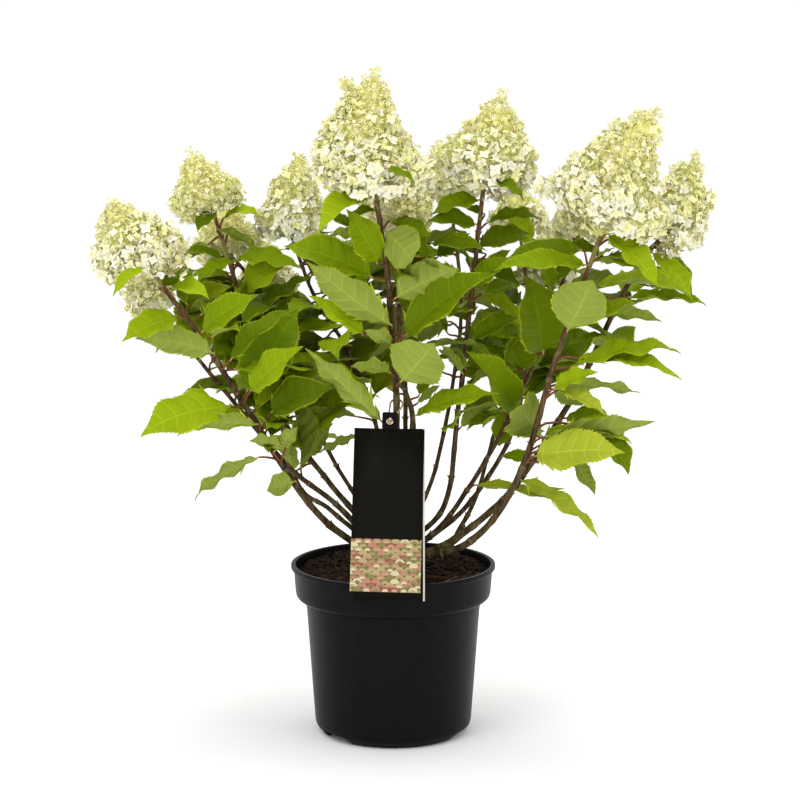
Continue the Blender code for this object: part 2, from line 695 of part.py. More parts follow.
def make_tag(model, card, twine):
    up, out = tag_frame()
    front = card_mesh("tag_front", TAG_WIDTH, TAG_LENGTH, -TAG_TURN, TAG_BOTTOM, neck=True)
    add_object("tag_front", front, model, card)
    drop = BACK_CARD_LENGTH - TAG_LENGTH
    back_bottom = Vector(TAG_BOTTOM) - out * BACK_CARD_SPACE - up * drop + Vector((4.0, 0, 0))
    back = card_mesh("tag_back", TAG_WIDTH, BACK_CARD_LENGTH, 0.0, back_bottom, neck=False)
    add_object("tag_back", back, model, card)

    loop = string_loop(up)
    curve = bpy.data.curves.new("tag_string", "CURVE")
    curve.dimensions = "3D"
    curve.bevel_depth = STRING_RADIUS * MM
    curve.bevel_resolution = 1
    spline = curve.splines.new("POLY")
    spline.points.add(len(loop) - 1)
    spline.use_cyclic_u = True
    for place, point in zip(loop, spline.points):
        point.co = (*(place * MM), 1.0)
    holder = bpy.data.objects.new("tag_string_curve", curve)
    bpy.context.scene.collection.objects.link(holder)
    mesh = mesh_from(holder)
    bpy.data.objects.remove(holder, do_unlink=True)
    bpy.data.curves.remove(curve)
    add_object("tag_string", mesh, model, twine)


# ---- the whole plant -------------------------------------------------------------------------

def main():
    clear_scene()
    model = new_collection("potted_hydrangea")
    cutters = new_collection("cutters")
    looks = make_materials()

    make_pot(model, cutters, looks["pot_plastic"])
    compost = make_compost(model, looks["compost"])
    base = make_woody_base(model, looks["bark"])
    arm, arm_room = make_limb("woody_arm", ARM_ROUTE, ARM_RADII, 5, model, cutters, looks["bark"])

    stem_rooms = []
    bloom_rooms = []
    for index, (name, (foot_radius, tip_radius, route)) in enumerate(STEMS.items()):
        stem, room = make_limb(name, route, (foot_radius, tip_radius), STEM_SEGMENTS,
                               model, cutters, looks["bark"])
        stem_rooms.append(room)
        apex, width, skirt = BLOOMS[name]
        bloom = make_bloom(name.replace("stem", "bloom"), smooth_route(route, STEM_SEGMENTS),
                           apex, width, skirt, 300 + index, model, looks["blossom"])
        bloom_rooms.append(swollen_copy(bloom, BLOOM_CLEAR, cutters))

    carve(arm, stem_rooms)
    carve(base, [arm_room, *stem_rooms])
    carve(compost, [swollen_copy(base, FIT_GAP, cutters), arm_room, *stem_rooms])
    make_masses(model, [*stem_rooms, *bloom_rooms], looks["leaf"])
    make_tag(model, looks["card"], looks["string"])


main()
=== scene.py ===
"""Looks of the potted panicle hydrangea: leaves, blooms, bark, compost, pot and tag.

Sizes are in millimetres until a mesh is made, and meshes are in metres. +Z is up and the front
of the plant faces -Y.
"""

import json
import math
import random

import bpy
import numpy as np
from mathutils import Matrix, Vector, noise
from mathutils.bvhtree import BVHTree

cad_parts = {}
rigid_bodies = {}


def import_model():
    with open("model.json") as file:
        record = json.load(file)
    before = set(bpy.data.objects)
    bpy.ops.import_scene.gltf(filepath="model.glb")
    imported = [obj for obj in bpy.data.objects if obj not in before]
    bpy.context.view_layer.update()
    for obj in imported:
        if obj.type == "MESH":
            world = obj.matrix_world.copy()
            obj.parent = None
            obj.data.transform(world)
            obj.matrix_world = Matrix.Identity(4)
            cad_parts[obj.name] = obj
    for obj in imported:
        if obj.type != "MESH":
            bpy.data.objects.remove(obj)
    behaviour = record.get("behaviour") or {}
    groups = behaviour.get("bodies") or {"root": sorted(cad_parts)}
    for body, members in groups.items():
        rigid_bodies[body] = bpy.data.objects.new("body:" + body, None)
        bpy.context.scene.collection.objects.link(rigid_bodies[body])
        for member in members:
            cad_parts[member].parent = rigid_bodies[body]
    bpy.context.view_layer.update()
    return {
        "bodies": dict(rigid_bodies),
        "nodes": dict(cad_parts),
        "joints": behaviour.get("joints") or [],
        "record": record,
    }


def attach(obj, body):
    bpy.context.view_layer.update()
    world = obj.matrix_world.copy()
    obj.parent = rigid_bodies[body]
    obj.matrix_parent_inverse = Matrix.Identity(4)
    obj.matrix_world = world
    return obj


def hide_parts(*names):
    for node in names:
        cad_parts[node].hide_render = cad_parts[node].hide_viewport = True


MM = 0.001
GOLDEN = math.pi * (3.0 - math.sqrt(5.0))

# ---- camera ----------------------------------------------------------------------------------

CAMERA_PLACE = np.array((7.71, -2600.0, 777.4))
CAMERA_PITCH = math.radians(8.741)
FOCAL_PIXELS = 2359.5
FRAME_PIXELS = 800
SENSOR_WIDTH = 36.0
WORLD_STRENGTH = 1.05
LIGHT_AIM = (0.0, 0.0, 0.40)
# name, place in metres, side in metres, power in watts
LIGHTS = (("key", (-1.3, -1.8, 2.6), 1.2, 17.0), ("fill", (2.2, -1.4, 1.5), 1.6, 6.0),
          ("top", (0.2, 0.6, 2.9), 1.4, 20.0))
FLOOR_REACH = 400000.0
FLOOR_COLOUR = (0.985, 0.985, 0.985)

# ---- pot and compost -------------------------------------------------------------------------

POT_HEIGHT = 192.4
POT_WALL = 2.2
RIM_RADIUS = 115.0
BAND_RADIUS = 111.2
BAND_BOTTOM = 151.0
BODY_TOP_RADIUS = 98.4
BODY_BOTTOM_RADIUS = 88.4
BODY_BOTTOM = 12.0
FOOT_RADIUS = 79.5
FLOOR = 2.5
NOTCH_COUNT = 3
NOTCH_FIRST = -51.0
NOTCH_WIDTH = 44.0
NOTCH_HEIGHT = 8.5
NOTCH_DEPTH = 26.0
NOTCH_TAPER = 0.86       # width at a notch's top, as part of the width at the floor
NOTCH_SHOULDER = 0.7     # part of a notch's height where it starts to narrow
POT_STEPS = 160
POT_COLOURS = ((0.0032, 0.0031, 0.0030), (0.0052, 0.0050, 0.0048))
POT_SHARP = 38.0         # degrees
CORNER_STEPS = 5
COMPOST_LEVEL = 183.0
COMPOST_HEAP = 3.0
COMPOST_SLOPE = 4.0
COMPOST_RADIUS = 108.6
COMPOST_SINK = 1.0
COMPOST_SKIRT = 14.0     # depth of the wall under the compost's surface
COMPOST_STEPS = 120
COMPOST_RINGS = 34
# height, scale and seed of each layer of the surface's unevenness
COMPOST_BUMPS = ((2.2, 0.045, 3.6), (1.6, 0.16, 9.1), (0.8, 0.5, 4.4))
# ranges of length, width and thickness, how many, and the looks of each kind of flake or fibre
CHIPS = (((5, 13), (2.5, 5.5), (0.9, 2.2), 1500, (1, 2, 2, 3, 4)),
         ((3, 7), (1.5, 3.5), (0.8, 1.8), 2200, (1, 2, 3, 3)),
         ((10, 30), (0.5, 1.3), (0.4, 0.8), 420, (3, 4, 4, 5)),
         ((18, 42), (1.4, 2.4), (0.7, 1.2), 16, (4, 5, 5)))
CHIP_SHAPES = 8          # of each kind
CHIP_LONG = 9            # longer kinds lie flatter
CHIP_INSET = 5.0
CHIP_TILT = 0.45
CHIP_FLATTER = 0.4
COMPOST_COLOURS = (
    ("compost_dark", (0.0085, 0.0050, 0.0028)), ("chip_black", (0.012, 0.0070, 0.0042)),
    ("chip_brown", (0.026, 0.0140, 0.0075)), ("chip_red_brown", (0.044, 0.0220, 0.0115)),
    ("fibre_brown", (0.070, 0.039, 0.021)), ("fibre_pale", (0.165, 0.105, 0.058)))

# ---- stems: (radius at the foot, radius at the tip, route) ------------------------------------

BASE_CENTRE = (4.0, -4.0, 200.0)
BASE_SIZE = (23.0, 21.0, 25.0)

STEMS = {
    "far_left": (4.2, 2.4, ((-14, -12, 197), (-89, -26, 260), (-166, -48, 385),
                            (-206, -60, 452), (-265, -75, 538))),
    "low_left": (3.6, 1.9, ((-17, -3, 207), (-62, -2, 258), (-117, -3, 303),
                            (-186, -5, 387), (-266, -5, 486))),
    "back_left": (3.0, 1.8, ((-17, 8, 205), (-72, 36, 246), (-112, 85, 270),
                             (-140, 150, 370), (-150, 196, 478))),
    "upper_left": (3.4, 2.2, ((-13, 5, 213), (-82, 18, 293), (-143, 36, 380),
                              (-167, 48, 470), (-205, 60, 590))),
    "behind_left": (2.6, 1.8, ((-9, 11, 214), (-70, 58, 302), (-135, 108, 424),
                               (-162, 124, 492), (-190, 132, 530))),
    "inner_left": (2.6, 1.9, ((-5, 10, 218), (-20, 45, 345), (-54, 65, 428),
                              (-92, 76, 490), (-119, 72, 566))),
    "centre": (4.0, 2.7, ((0, -16, 209), (4, -58, 374), (-1, -77, 465),
                          (-7, -93, 541), (-20, -110, 622))),
    "centre_inner": (3.5, 2.2, ((9, -11, 217), (22, -25, 351), (11, -30, 402),
                                (6, -34, 480), (10, -40, 574))),
    "back_centre": (3.2, 2.1, ((3, 13, 212), (12, 75, 270), (14, 130, 370),
                               (8, 168, 470), (2, 190, 566))),
    "behind_right": (2.6, 1.9, ((12, 7, 217), (44, 38, 280), (68, 88, 380),
                                (78, 105, 478), (64, 112, 602))),
    "inner_right": (3.3, 2.4, ((14, -4, 213), (58, -9, 262), (72, -14, 366),
                               (85, -18, 486), (100, -20, 626))),
    "upper_right": (3.1, 2.1, ((18, -1, 207), (61, 10, 241), (120, 26, 332),
                               (164, 34, 430), (208, 44, 558))),
    "back_right": (3.1, 2.0, ((17, 6, 202), (86, 31, 254), (141, 80, 341),
                              (156, 116, 460), (146, 130, 562))),
    "low_back_right": (2.6, 1.8, ((71, -6, 226), (92, 10, 262), (108, 48, 305),
                                  (142, 130, 403), (180, 172, 496))),
    "front_right": (4.3, 2.6, ((21, -17, 200), (87, -35, 225), (138, -50, 300),
                               (177, -68, 435), (222, -84, 568))),
    "far_right": (3.9, 2.4, ((67, -16, 220), (131, -2, 274), (199, 15, 374),
                             (241, 25, 461), (280, 29, 535), (310, 30, 562))),
}
ARM_RADII = (6.0, 4.4)
ARM_ROUTE = ((18, -9, 199), (40, -14, 207), (62, -14, 217), (78, -14, 230))
ARM_RINGS = 60
ARM_SIDES = 16
# routes of the two short spurs on the arm
ARM_SPURS = (((72, -14, 226), (77, -19, 232), (79, -24, 240)),
             ((46, -14, 209), (50, -22, 213), (50, -27, 219)))
SPUR_RADII = (2.6, 2.0)
BASE_STEPS = 28
BASE_RINGS = 18
BASE_POLAR = 0.78        # how far its dome reaches round, as part of half a turn
BASE_FLARE = 0.35        # how much wider it grows towards its foot
BASE_BUMPS = ((0.16, 1.9), (0.09, 5.0), (0.05, 13.0))
STEM_RINGS = 110
STEM_SIDES = 12
STEM_WOBBLE = 0.07
NODE_FIRST = (22, 34)    # from a stem's foot
NODE_STEP = (30, 46)
NODE_LAST = 10           # from a stem's tip
NODE_SWELL = 0.17
NODE_LENGTH = 2.6
NODE_BAND = 1.5          # half length of the pale band on a node
NODE_KINK = 0.45
NODE_REACH = 12.0        # how far along the stem a node bends it
SCAR_RADII = (1.25, 0.35)
# shares of a stem where its bark turns from old to middle and from middle to young
THICK_BARK = (0.30, 0.62)
THIN_BARK = (0.2, 0.55)
THICK_FOOT = 3.2
GREEN_TIP = 0.93         # share of a stem from which it is green
GREEN_TIPS = {"upper_left": 0.84}
# name, colours from dark to light, grain, roughness, bump, stretch, gloss
BARKS = (
    ("bark_old", ((0.018, 0.011, 0.004), (0.066, 0.045, 0.017), (0.16, 0.120, 0.052)),
     170.0, 0.8, (0.6, 0.0008), (1, 1, 0.25), 0.12),
    ("bark_mid", ((0.016, 0.009, 0.003), (0.062, 0.037, 0.014), (0.13, 0.088, 0.038)),
     210.0, 0.65, (0.4, 0.0005), (1, 1, 0.25), 0.15),
    ("bark_young", ((0.034, 0.014, 0.005), (0.105, 0.058, 0.023), (0.20, 0.125, 0.052)),
     230.0, 0.5, (0.25, 0.0003), (1, 1, 0.3), 0.18),
    ("bark_tip", ((0.17, 0.13, 0.035), (0.29, 0.25, 0.070), (0.24, 0.15, 0.055)),
     200.0, 0.5, (0.2, 0.0003), (1, 1, 1), 0.15),
    ("bark_node", ((0.085, 0.060, 0.027), (0.21, 0.155, 0.080)),
     300.0, 0.8, (0.4, 0.0004), (1, 1, 1), 0.1),
    ("bark_lichen", ((0.034, 0.024, 0.008), (0.100, 0.076, 0.028), (0.17, 0.140, 0.062)),
     110.0, 0.85, (0.7, 0.0010), (1, 1, 1), 0.1),
)
OLD, MID, YOUNG, TIP, NODE, LICHEN = range(len(BARKS))

# ---- blooms: (apex, half width, skirt, share of white florets, warmth of the tip, sway) --------

BLOOMS = {
    "far_left": ((-300, -80, 606), 47, -2, 0.70, 0.30, -5),
    "low_left": ((-290, -8, 528), 28, 4, 0.35, 0.10, 0),
    "back_left": ((-152, 204, 540), 36, 0, 0.40, 0.20, 0),
    "upper_left": ((-228, 60, 652), 41, 2, 0.03, 0.22, -3),
    "behind_left": ((-198, 142, 586), 42, 0, 0.05, 0.10, 0),
    "inner_left": ((-108, 74, 652), 39, 6, 0.60, 0.15, 5),
    "centre": ((-16, -112, 745), 58, 0, 0.42, 0.55, -10),
    "centre_inner": ((26, -44, 628), 30, 4, 0.10, 0.10, 0),
    "back_centre": ((4, 202, 660), 44, 2, 0.45, 0.20, 0),
    "behind_right": ((52, 118, 658), 41, 0, 0.55, 0.10, 0),
    "inner_right": ((117, -22, 716), 55, 0, 0.36, 0.25, 2),
    "upper_right": ((205, 56, 612), 31, 0, 0.30, 0.10, 0),
    "back_right": ((143, 138, 606), 37, 0, 0.40, 0.10, 0),
    "low_back_right": ((188, 186, 560), 36, 0, 0.40, 0.10, 0),
    "front_right": ((281, -94, 703), 61, -22, 0.42, 0.60, -11),
    "far_right": ((338, 30, 650), 38, 0, 0.60, 0.40, 0),
}
BLOOM_PROFILE = ((0.0, 0.80), (0.06, 0.98), (0.14, 1.0), (0.34, 0.84), (0.62, 0.53),
                 (0.88, 0.21), (1.0, 0.05))

# extra sprays of a bloom that break its outline, and the open clusters under it:
# (stem, centre in the front view's pixels, depth from the stem's tip, radii, white share, open)
CLUSTERS = (
    ("far_left", (170, 264), -14, (24, 14, 14), 0.25, True),
    ("far_left", (119, 266), 0, (15, 16, 10), 0.70, False),
    ("far_left", (178, 246), 0, (9, 14, 9), 0.55, False),
    ("low_left", (142, 292), -2, (22, 16, 9), 0.10, True),
    ("upper_left", (176, 203), 0, (9, 12, 8), 0.02, False),
    ("upper_left", (238, 197), 0, (7, 10, 7), 0.02, True),
    ("upper_left", (200, 214), 0, (12, 14, 7), 0.05, True),
    ("inner_left", (281, 222), 0, (11, 14, 9), 0.30, False),
    ("centre", (347, 84), 0, (4.2, 5, 4.2), 0.0, False),
    ("centre", (351, 97), 0, (7, 8, 7), 0.0, False),
    ("centre", (344, 111), 0, (10, 12, 10), 0.05, False),
    ("centre", (332, 128), 0, (10, 12, 12), 0.30, False),
    ("centre", (326, 168), 0, (14, 16, 11), 0.40, False),
    ("centre", (392, 176), -40, (18, 8, 8), 0.35, True),
    ("centre", (358, 180), -46, (18, 8, 9), 0.55, True),
    ("centre", (408, 204), 10, (28, 22, 14), 0.0, True),
    ("front_right", (590, 217), 4, (36, 24, 15), 0.0, True),
    ("front_right", (618, 127), 0, (7, 9, 7), 0.05, False),
    ("front_right", (638, 118), 0, (8, 8, 7), 0.02, False),
    ("front_right", (602, 145), 0, (11, 12, 9), 0.20, False),
    ("front_right", (580, 160), 0, (12, 14, 10), 0.50, False),
    ("front_right", (562, 180), 0, (13, 16, 9), 0.65, False),
    ("front_right", (545, 188), 0, (10, 10, 6), 0.60, False),
    ("front_right", (640, 226), 14, (20, 16, 10), 0.55, False),
    ("behind_right", (447, 168), -6, (14, 16, 20), 0.6, False),
    ("inner_right", (497, 196), -4, (12, 12, 8), 0.0, True),
    ("inner_right", (462, 160), 0, (15, 16, 12), 0.4, False),
    ("far_right", (678, 170), 0, (9, 9, 8), 0.05, False),
    ("far_right", (702, 204), 0, (11, 14, 14), 0.5, False),
    ("far_right", (693, 225), 0, (13, 12, 9), 0.6, False),
    ("far_right", (668, 250), -4, (15, 14, 12), 0.3, True),
)

# ---- leaves listed one by one ----------------------------------------------------------------
# Each row: stem, leaf base and tip in the front view's pixels, depth of the base from the stem
# and of the tip from the base in millimetres, width as a part of length, how far the upper side
# turns from the front (degrees: 0 faces the front, 90 faces up, 180 faces the back), arch along
# the midrib in degrees, and the tones of the upper side and the underside.

LEAVES = (
    # far left stem
    ("far_left", 142, 268, 113, 297, -46, -10, 0.50, 40, 60, "bp"),
    ("far_left", 175, 316, 122, 342, -8, -30, 0.60, 28, 35, "bp"),
    ("far_left", 213, 353, 135, 337, -10, -10, 0.42, 148, 20, "mp"),
    ("far_left", 203, 331, 258, 293, -14, -30, 0.42, 22, 30, "mp"),
    ("far_left", 171, 290, 209, 299, -8, -25, 0.62, 50, 45, "bp"),
    ("far_left", 231, 359, 292, 308, -10, 20, 0.36, 42, 35, "dg"),
    ("far_left", 229, 407, 140, 436, -10, -30, 0.52, 34, 46, "bp"),
    ("far_left", 251, 390, 303, 346, -12, -36, 0.46, 30, 35, "lp"),
    ("far_left", 272, 412, 333, 386, -12, -20, 0.58, 28, 50, "kg"),
    ("far_left", 256, 424, 189, 428, -12, -35, 0.36, 128, 15, "yp"),
    ("far_left", 257, 458, 195, 502, -10, -25, 0.34, 125, 30, "yp"),
    ("far_left", 293, 482, 267, 491, -8, -16, 0.95, 150, 20, "mp"),
    ("far_left", 276, 450, 298, 427, -12, -10, 0.55, 150, 20, "yp"),
    ("far_left", 282, 446, 249, 442, -14, -20, 0.50, 128, 30, "mp"),
    ("low_left", 240, 385, 185, 391, -4, 20, 0.42, 55, 30, "dg"),
    ("far_left", 161, 287, 200, 269, 6, 20, 0.50, 40, 30, "dg"),
    ("far_left", 186, 303, 176, 290, 4, 10, 0.60, 40, 20, "dg"),
    ("low_left", 218, 418, 180, 400, 4, 10, 0.42, 50, 30, "dg"),
    # upper left stem
    ("upper_left", 222, 258, 180, 252, -4, -10, 0.42, 50, 45, "dp"),
    ("upper_left", 234, 262, 197, 284, -8, -25, 0.46, 48, 50, "mp"),
    ("upper_left", 236, 260, 301, 269, -6, -20, 0.44, 50, 55, "mp"),
    ("upper_left", 243, 288, 288, 262, -8, -12, 0.62, 24, 30, "lp"),
    ("upper_left", 255, 311, 312, 275, -8, 25, 0.34, 48, 25, "dp"),
    ("upper_left", 225, 217, 262, 217, -10, -10, 0.50, 56, 75, "bg"),
    ("upper_left", 213, 213, 197, 231, -26, -15, 0.85, 30, 30, "kg"),
    ("upper_left", 220, 230, 256, 252, -8, -20, 0.40, 120, 45, "mg"),
    ("upper_left", 232, 232, 258, 253, 6, -10, 0.36, 70, 45, "dg"),
    ("upper_left", 268, 343, 348, 326, -6, -20, 0.30, 52, 30, "mg"),
    ("upper_left", 281, 395, 330, 402, 0, 10, 0.40, 120, 25, "mg"),
    ("upper_left", 305, 458, 333, 425, -8, 15, 0.50, 140, 20, "mg"),
    ("upper_left", 292, 470, 286, 440, -6, -20, 0.55, 140, 20, "yp"),
    ("inner_left", 357, 436, 316, 453, -6, -10, 0.42, 122, 6, "mp"),
    # inner left stem
    ("inner_left", 345, 283, 302, 243, -10, -30, 0.30, 130, 35, "mg"),
    ("inner_left", 350, 345, 308, 345, -6, -10, 0.32, 100, 25, "dg"),
    ("inner_left", 356, 416, 297, 423, -8, -20, 0.40, 122, 40, "mg"),
    ("inner_left", 322, 250, 280, 250, -6, 10, 0.36, 60, 45, "dg"),
    # centre stem, left side
    ("centre", 372, 196, 318, 232, -10, -40, 0.46, 42, 70, "bp"),
    ("centre", 375, 210, 345, 222, 20, 10, 0.50, 60, 50, "dp"),
    ("centre", 371, 276, 284, 246, -8, 20, 0.46, 36, 30, "mp"),
    ("centre", 377, 262, 347, 209, -12, -20, 0.56, 12, 25, "mg"),
    ("centre", 390, 324, 305, 263, -14, -40, 0.36, 158, 20, "mp"),
    ("centre", 363, 333, 308, 297, -4, -10, 0.36, 40, 35, "bp"),
    ("centre", 381, 420, 304, 349, -10, -20, 0.26, 150, 15, "mp"),
    ("centre", 389, 372, 351, 366, -8, -40, 0.42, 125, 20, "yg"),
    ("centre", 391, 344, 365, 330, -6, -30, 0.45, 140, 25, "yp"),
    # centre stem, right side
    ("centre", 386, 232, 412, 262, -10, -40, 0.90, 160, 30, "mp"),
    ("centre", 397, 297, 459, 268, -12, -30, 0.66, 152, 25, "mp"),
    ("centre", 406, 335, 494, 272, -10, -40, 0.40, 30, 25, "dp"),
    ("centre", 402, 380, 435, 343, -22, -20, 1.22, 168, 12, "mp"),
    ("centre", 408, 330, 460, 302, 4, 10, 0.40, 50, 30, "mp"),
    ("centre_inner", 433, 318, 476, 276, 10, 20, 0.40, 45, 30, "mp"),
    ("centre_inner", 416, 415, 499, 393, -30, -40, 0.36, 52, 35, "mp"),
    ("centre", 388, 169, 414, 183, -62, -4, 0.50, 50, 30, "dp"),
    ("centre_inner", 418, 402, 440, 385, 10, 10, 0.50, 130, 20, "mg"),
    ("centre_inner", 419, 394, 441, 362, 2, 10, 0.50, 40, 30, "dg"),
    ("centre_inner", 432, 243, 486, 251, -10, -30, 0.44, 46, 25, "dp"),
    ("centre_inner", 410, 227, 428, 262, -6, -20, 0.44, 30, 25, "dg"),
    ("centre", 392, 222, 432, 236, 6, 10, 0.50, 30, 30, "dg"),
    ("centre_inner", 437, 256, 470, 233, -8, -10, 0.50, 30, 30, "dp"),
    ("centre", 352, 226, 326, 214, 14, 10, 0.44, 30, 30, "dg"),
    # inner right stem
    ("inner_right", 489, 182, 524, 201, -44, -10, 0.46, 50, 60, "dg"),
    ("inner_right", 478, 200, 431, 216, -6, -20, 0.56, 42, 60, "mp"),
    ("inner_right", 475, 224, 427, 222, -10, -20, 0.52, 34, 40, "dp"),
    ("inner_right", 489, 222, 541, 220, -4, 10, 0.36, 50, 50, "dg"),
    ("inner_right", 479, 245, 530, 234, 4, 10, 0.58, 38, 30, "dp"),
    ("inner_right", 485, 266, 511, 250, -4, 10, 0.42, 30, 20, "mp"),
    ("inner_right", 470, 310, 428, 322, -10, -20, 0.34, 60, 30, "mp"),
    ("inner_right", 474, 338, 519, 318, -6, 10, 0.52, 38, 40, "dp"),
    ("inner_right", 472, 342, 508, 350, 10, 20, 0.44, 60, 35, "dg"),
    ("inner_right", 462, 372, 440, 345, -10, -20, 0.34, 130, 20, "mg"),
    ("inner_right", 465, 368, 446, 350, -4, -6, 0.75, 130, 25, "mg"),
    ("inner_right", 465, 410, 508, 405, 4, 10, 0.34, 110, 25, "mg"),
    ("inner_right", 474, 284, 508, 258, -16, -10, 0.60, 34, 30, "mp"),
    ("inner_right", 482, 213, 464, 206, 6, 10, 0.55, 40, 30, "dg"),
    ("inner_right", 476, 262, 520, 286, 10, 10, 0.46, 40, 30, "kg"),
    # behind and upper right stems
    ("upper_right", 533, 238, 506, 215, -8, -30, 0.66, 32, 20, "bp"),
    ("upper_right", 553, 293, 528, 240, -10, -30, 0.40, 40, 25, "mp"),
    ("upper_right", 543, 352, 525, 275, -46, -30, 0.72, 20, 25, "dp"),
    ("upper_right", 542, 348, 475, 289, -26, -10, 0.30, 40, 25, "bp"),
    ("upper_right", 524, 369, 530, 328, 0, -10, 0.66, 30, 25, "mg"),
    ("upper_right", 514, 418, 467, 350, -20, -50, 0.42, 34, 25, "mp"),
    ("upper_right", 501, 411, 467, 431, -8, -30, 0.40, 60, 30, "mp"),
    ("upper_right", 560, 205, 585, 215, 10, 10, 0.50, 60, 40, "dg"),
    ("upper_right", 548, 282, 582, 262, -6, 10, 0.48, 40, 30, "dp"),
    ("inner_right", 484, 293, 524, 284, 8, 20, 0.50, 50, 25, "mg"),
    ("inner_right", 483, 253, 440, 246, 10, 20, 0.46, 50, 30, "dg"),
    ("inner_right", 485, 245, 528, 238, 12, 20, 0.46, 50, 30, "dg"),
    ("upper_right", 513, 405, 500, 447, 6, 10, 0.62, 30, 25, "mp"),
    ("upper_right", 528, 408, 505, 428, 0, 10, 0.50, 60, 30, "dg"),
    # front right stem
    ("front_right", 609, 235, 658, 287, -12, -30, 0.50, 40, 40, "bp"),
    ("front_right", 612, 240, 655, 270, 14, 10, 0.40, 60, 45, "dg"),
    ("front_right", 585, 265, 495, 272, -14, -30, 0.30, 48, 45, "mp"),
    ("front_right", 580, 250, 500, 268, 6, 10, 0.44, 44, 30, "dp"),
    ("front_right", 594, 260, 642, 268, 8, 20, 0.34, 110, 20, "mg"),
    ("front_right", 594, 259, 615, 248, 4, 10, 0.36, 120, 20, "mp"),
    ("front_right", 606, 257, 652, 277, 14, 20, 0.44, 60, 25, "mg"),
    ("front_right", 600, 256, 566, 241, 16, 10, 0.48, 50, 30, "dg"),
    ("front_right", 568, 329, 594, 281, -22, -30, 0.98, 162, 18, "yp"),
    ("front_right", 588, 322, 634, 301, 8, -10, 0.42, 44, 30, "mp"),
    ("front_right", 596, 314, 662, 322, 10, 10, 0.36, 118, 30, "mg"),
    ("front_right", 576, 365, 681, 353, -6, 0, 0.36, 62, 34, "lp"),
    ("front_right", 598, 361, 682, 379, -4, -20, 0.36, 60, 40, "bg"),
    ("front_right", 554, 388, 598, 371, -10, -20, 0.46, 40, 25, "bp"),
    ("front_right", 575, 383, 641, 392, 0, 10, 0.36, 115, 8, "mp"),
    ("front_right", 560, 391, 607, 415, -10, -30, 0.36, 44, 35, "yp"),
    ("front_right", 547, 436, 655, 422, -10, -10, 0.34, 122, 6, "mp"),
    ("front_right", 536, 456, 625, 452, -14, -40, 0.50, 26, 30, "yp"),
    ("front_right", 597, 430, 628, 475, 6, -10, 0.62, 40, 36, "dg"),
    ("front_right", 574, 460, 595, 495, 6, -10, 0.50, 135, 20, "mg"),
    ("back_right", 503, 456, 540, 463, -10, -10, 0.50, 50, 25, "mp"),
    ("front_right", 541, 461, 582, 469, 8, 10, 0.42, 60, 25, "dg"),
    # far right stem
    ("far_right", 521, 480, 599, 538, -10, -30, 0.26, 52, 26, "yp"),
    ("upper_right", 477, 485, 560, 502, -8, -20, 0.24, 62, 26, "yp"),
    ("far_right", 653, 253, 692, 299, -6, -20, 0.46, 42, 45, "bp"),
    ("far_right", 664, 256, 692, 296, 10, 0, 0.50, 50, 50, "dg"),
    ("far_right", 670, 225, 689, 237, -10, -14, 0.44, 50, 60, "dg"),
    ("far_right", 596, 288, 693, 300, -30, -40, 0.42, 58, 40, "lp"),
    ("far_right", 630, 297, 707, 306, -6, 0, 0.26, 62, 12, "mg"),
    ("far_right", 650, 285, 678, 290, 10, 10, 0.60, 120, 20, "mg"),
    ("far_right", 605, 335, 568, 344, -10, 0, 0.34, 60, 30, "mg"),
)

# pixels of the front view (x0, y0, x1, y1) where the background shows between the leaves
GAPS = (
    (266, 262, 290, 276), (292, 280, 311, 306), (318, 332, 350, 338), (345, 348, 362, 354),
    (430, 256, 447, 268), (440, 330, 456, 345), (482, 288, 500, 300), (498, 346, 512, 356),
    (140, 354, 204, 388), (640, 306, 700, 345), (600, 394, 660, 412), (190, 436, 240, 464),
    (246, 150, 268, 204), (264, 226, 286, 246), (312, 452, 350, 462), (460, 435, 492, 455),
    (600, 358, 650, 374), (505, 538, 640, 600), (108, 346, 135, 372), (225, 468, 268, 500),
    (424, 414, 446, 440), (600, 318, 645, 342), (160, 438, 196, 470), (150, 322, 172, 334),
    (512, 350, 520, 360),
)


# ---- mesh building ---------------------------------------------------------------------------

class Bin:
    """Collects faces of three or four corners with a material each, and makes one mesh of them."""

    def __init__(self):
        self.verts, self.faces, self.slots = [], {3: [], 4: []}, {3: [], 4: []}
        self.count = 0

    def add(self, verts, faces, slots):
        """Adds one array of faces with its slots, or lists of both."""
        if not isinstance(faces, (list, tuple)):
            faces, slots = [faces], [slots]
        for some, slot in zip(faces, slots):
            self.faces[some.shape[1]].append(some + self.count)
            self.slots[some.shape[1]].append(np.broadcast_to(np.asarray(slot), (len(some),)))
        self.verts.append(np.asarray(verts, float))
        self.count += len(verts)

    def make(self, name, materials, smooth=None):
        """Makes the mesh and its object. smooth is the angle that stays sharp, in degrees."""
        mesh = bpy.data.meshes.new(name)
        verts = np.concatenate(self.verts) * MM
        mesh.vertices.add(len(verts))
        mesh.vertices.foreach_set("co", verts.astype(np.float32).ravel())
        loops, starts, slots, start = [], [], [], 0
        for size in (3, 4):
            if self.faces[size]:
                some = np.concatenate(self.faces[size]).astype(np.int32)
                loops.append(some.ravel())
                starts.append(start + size * np.arange(len(some)))
                slots.append(np.concatenate(self.slots[size]))
                start += size * len(some)
        loops, starts, slots = (np.concatenate(part) for part in (loops, starts, slots))
        mesh.loops.add(len(loops))
        mesh.loops.foreach_set("vertex_index", loops.astype(np.int32))
        mesh.polygons.add(len(starts))
        mesh.polygons.foreach_set("loop_start", starts.astype(np.int32))
        mesh.polygons.foreach_set("material_index", slots.astype(np.int32))
        for material in materials:
            mesh.materials.append(material)
        mesh.update(calc_edges=True)
        mesh.validate()
        if smooth is not None:
            mesh.shade_smooth()
            mesh.set_sharp_from_angle(angle=math.radians(smooth))
        piece = bpy.data.objects.new(name, mesh)
        bpy.context.scene.collection.objects.link(piece)
        return piece


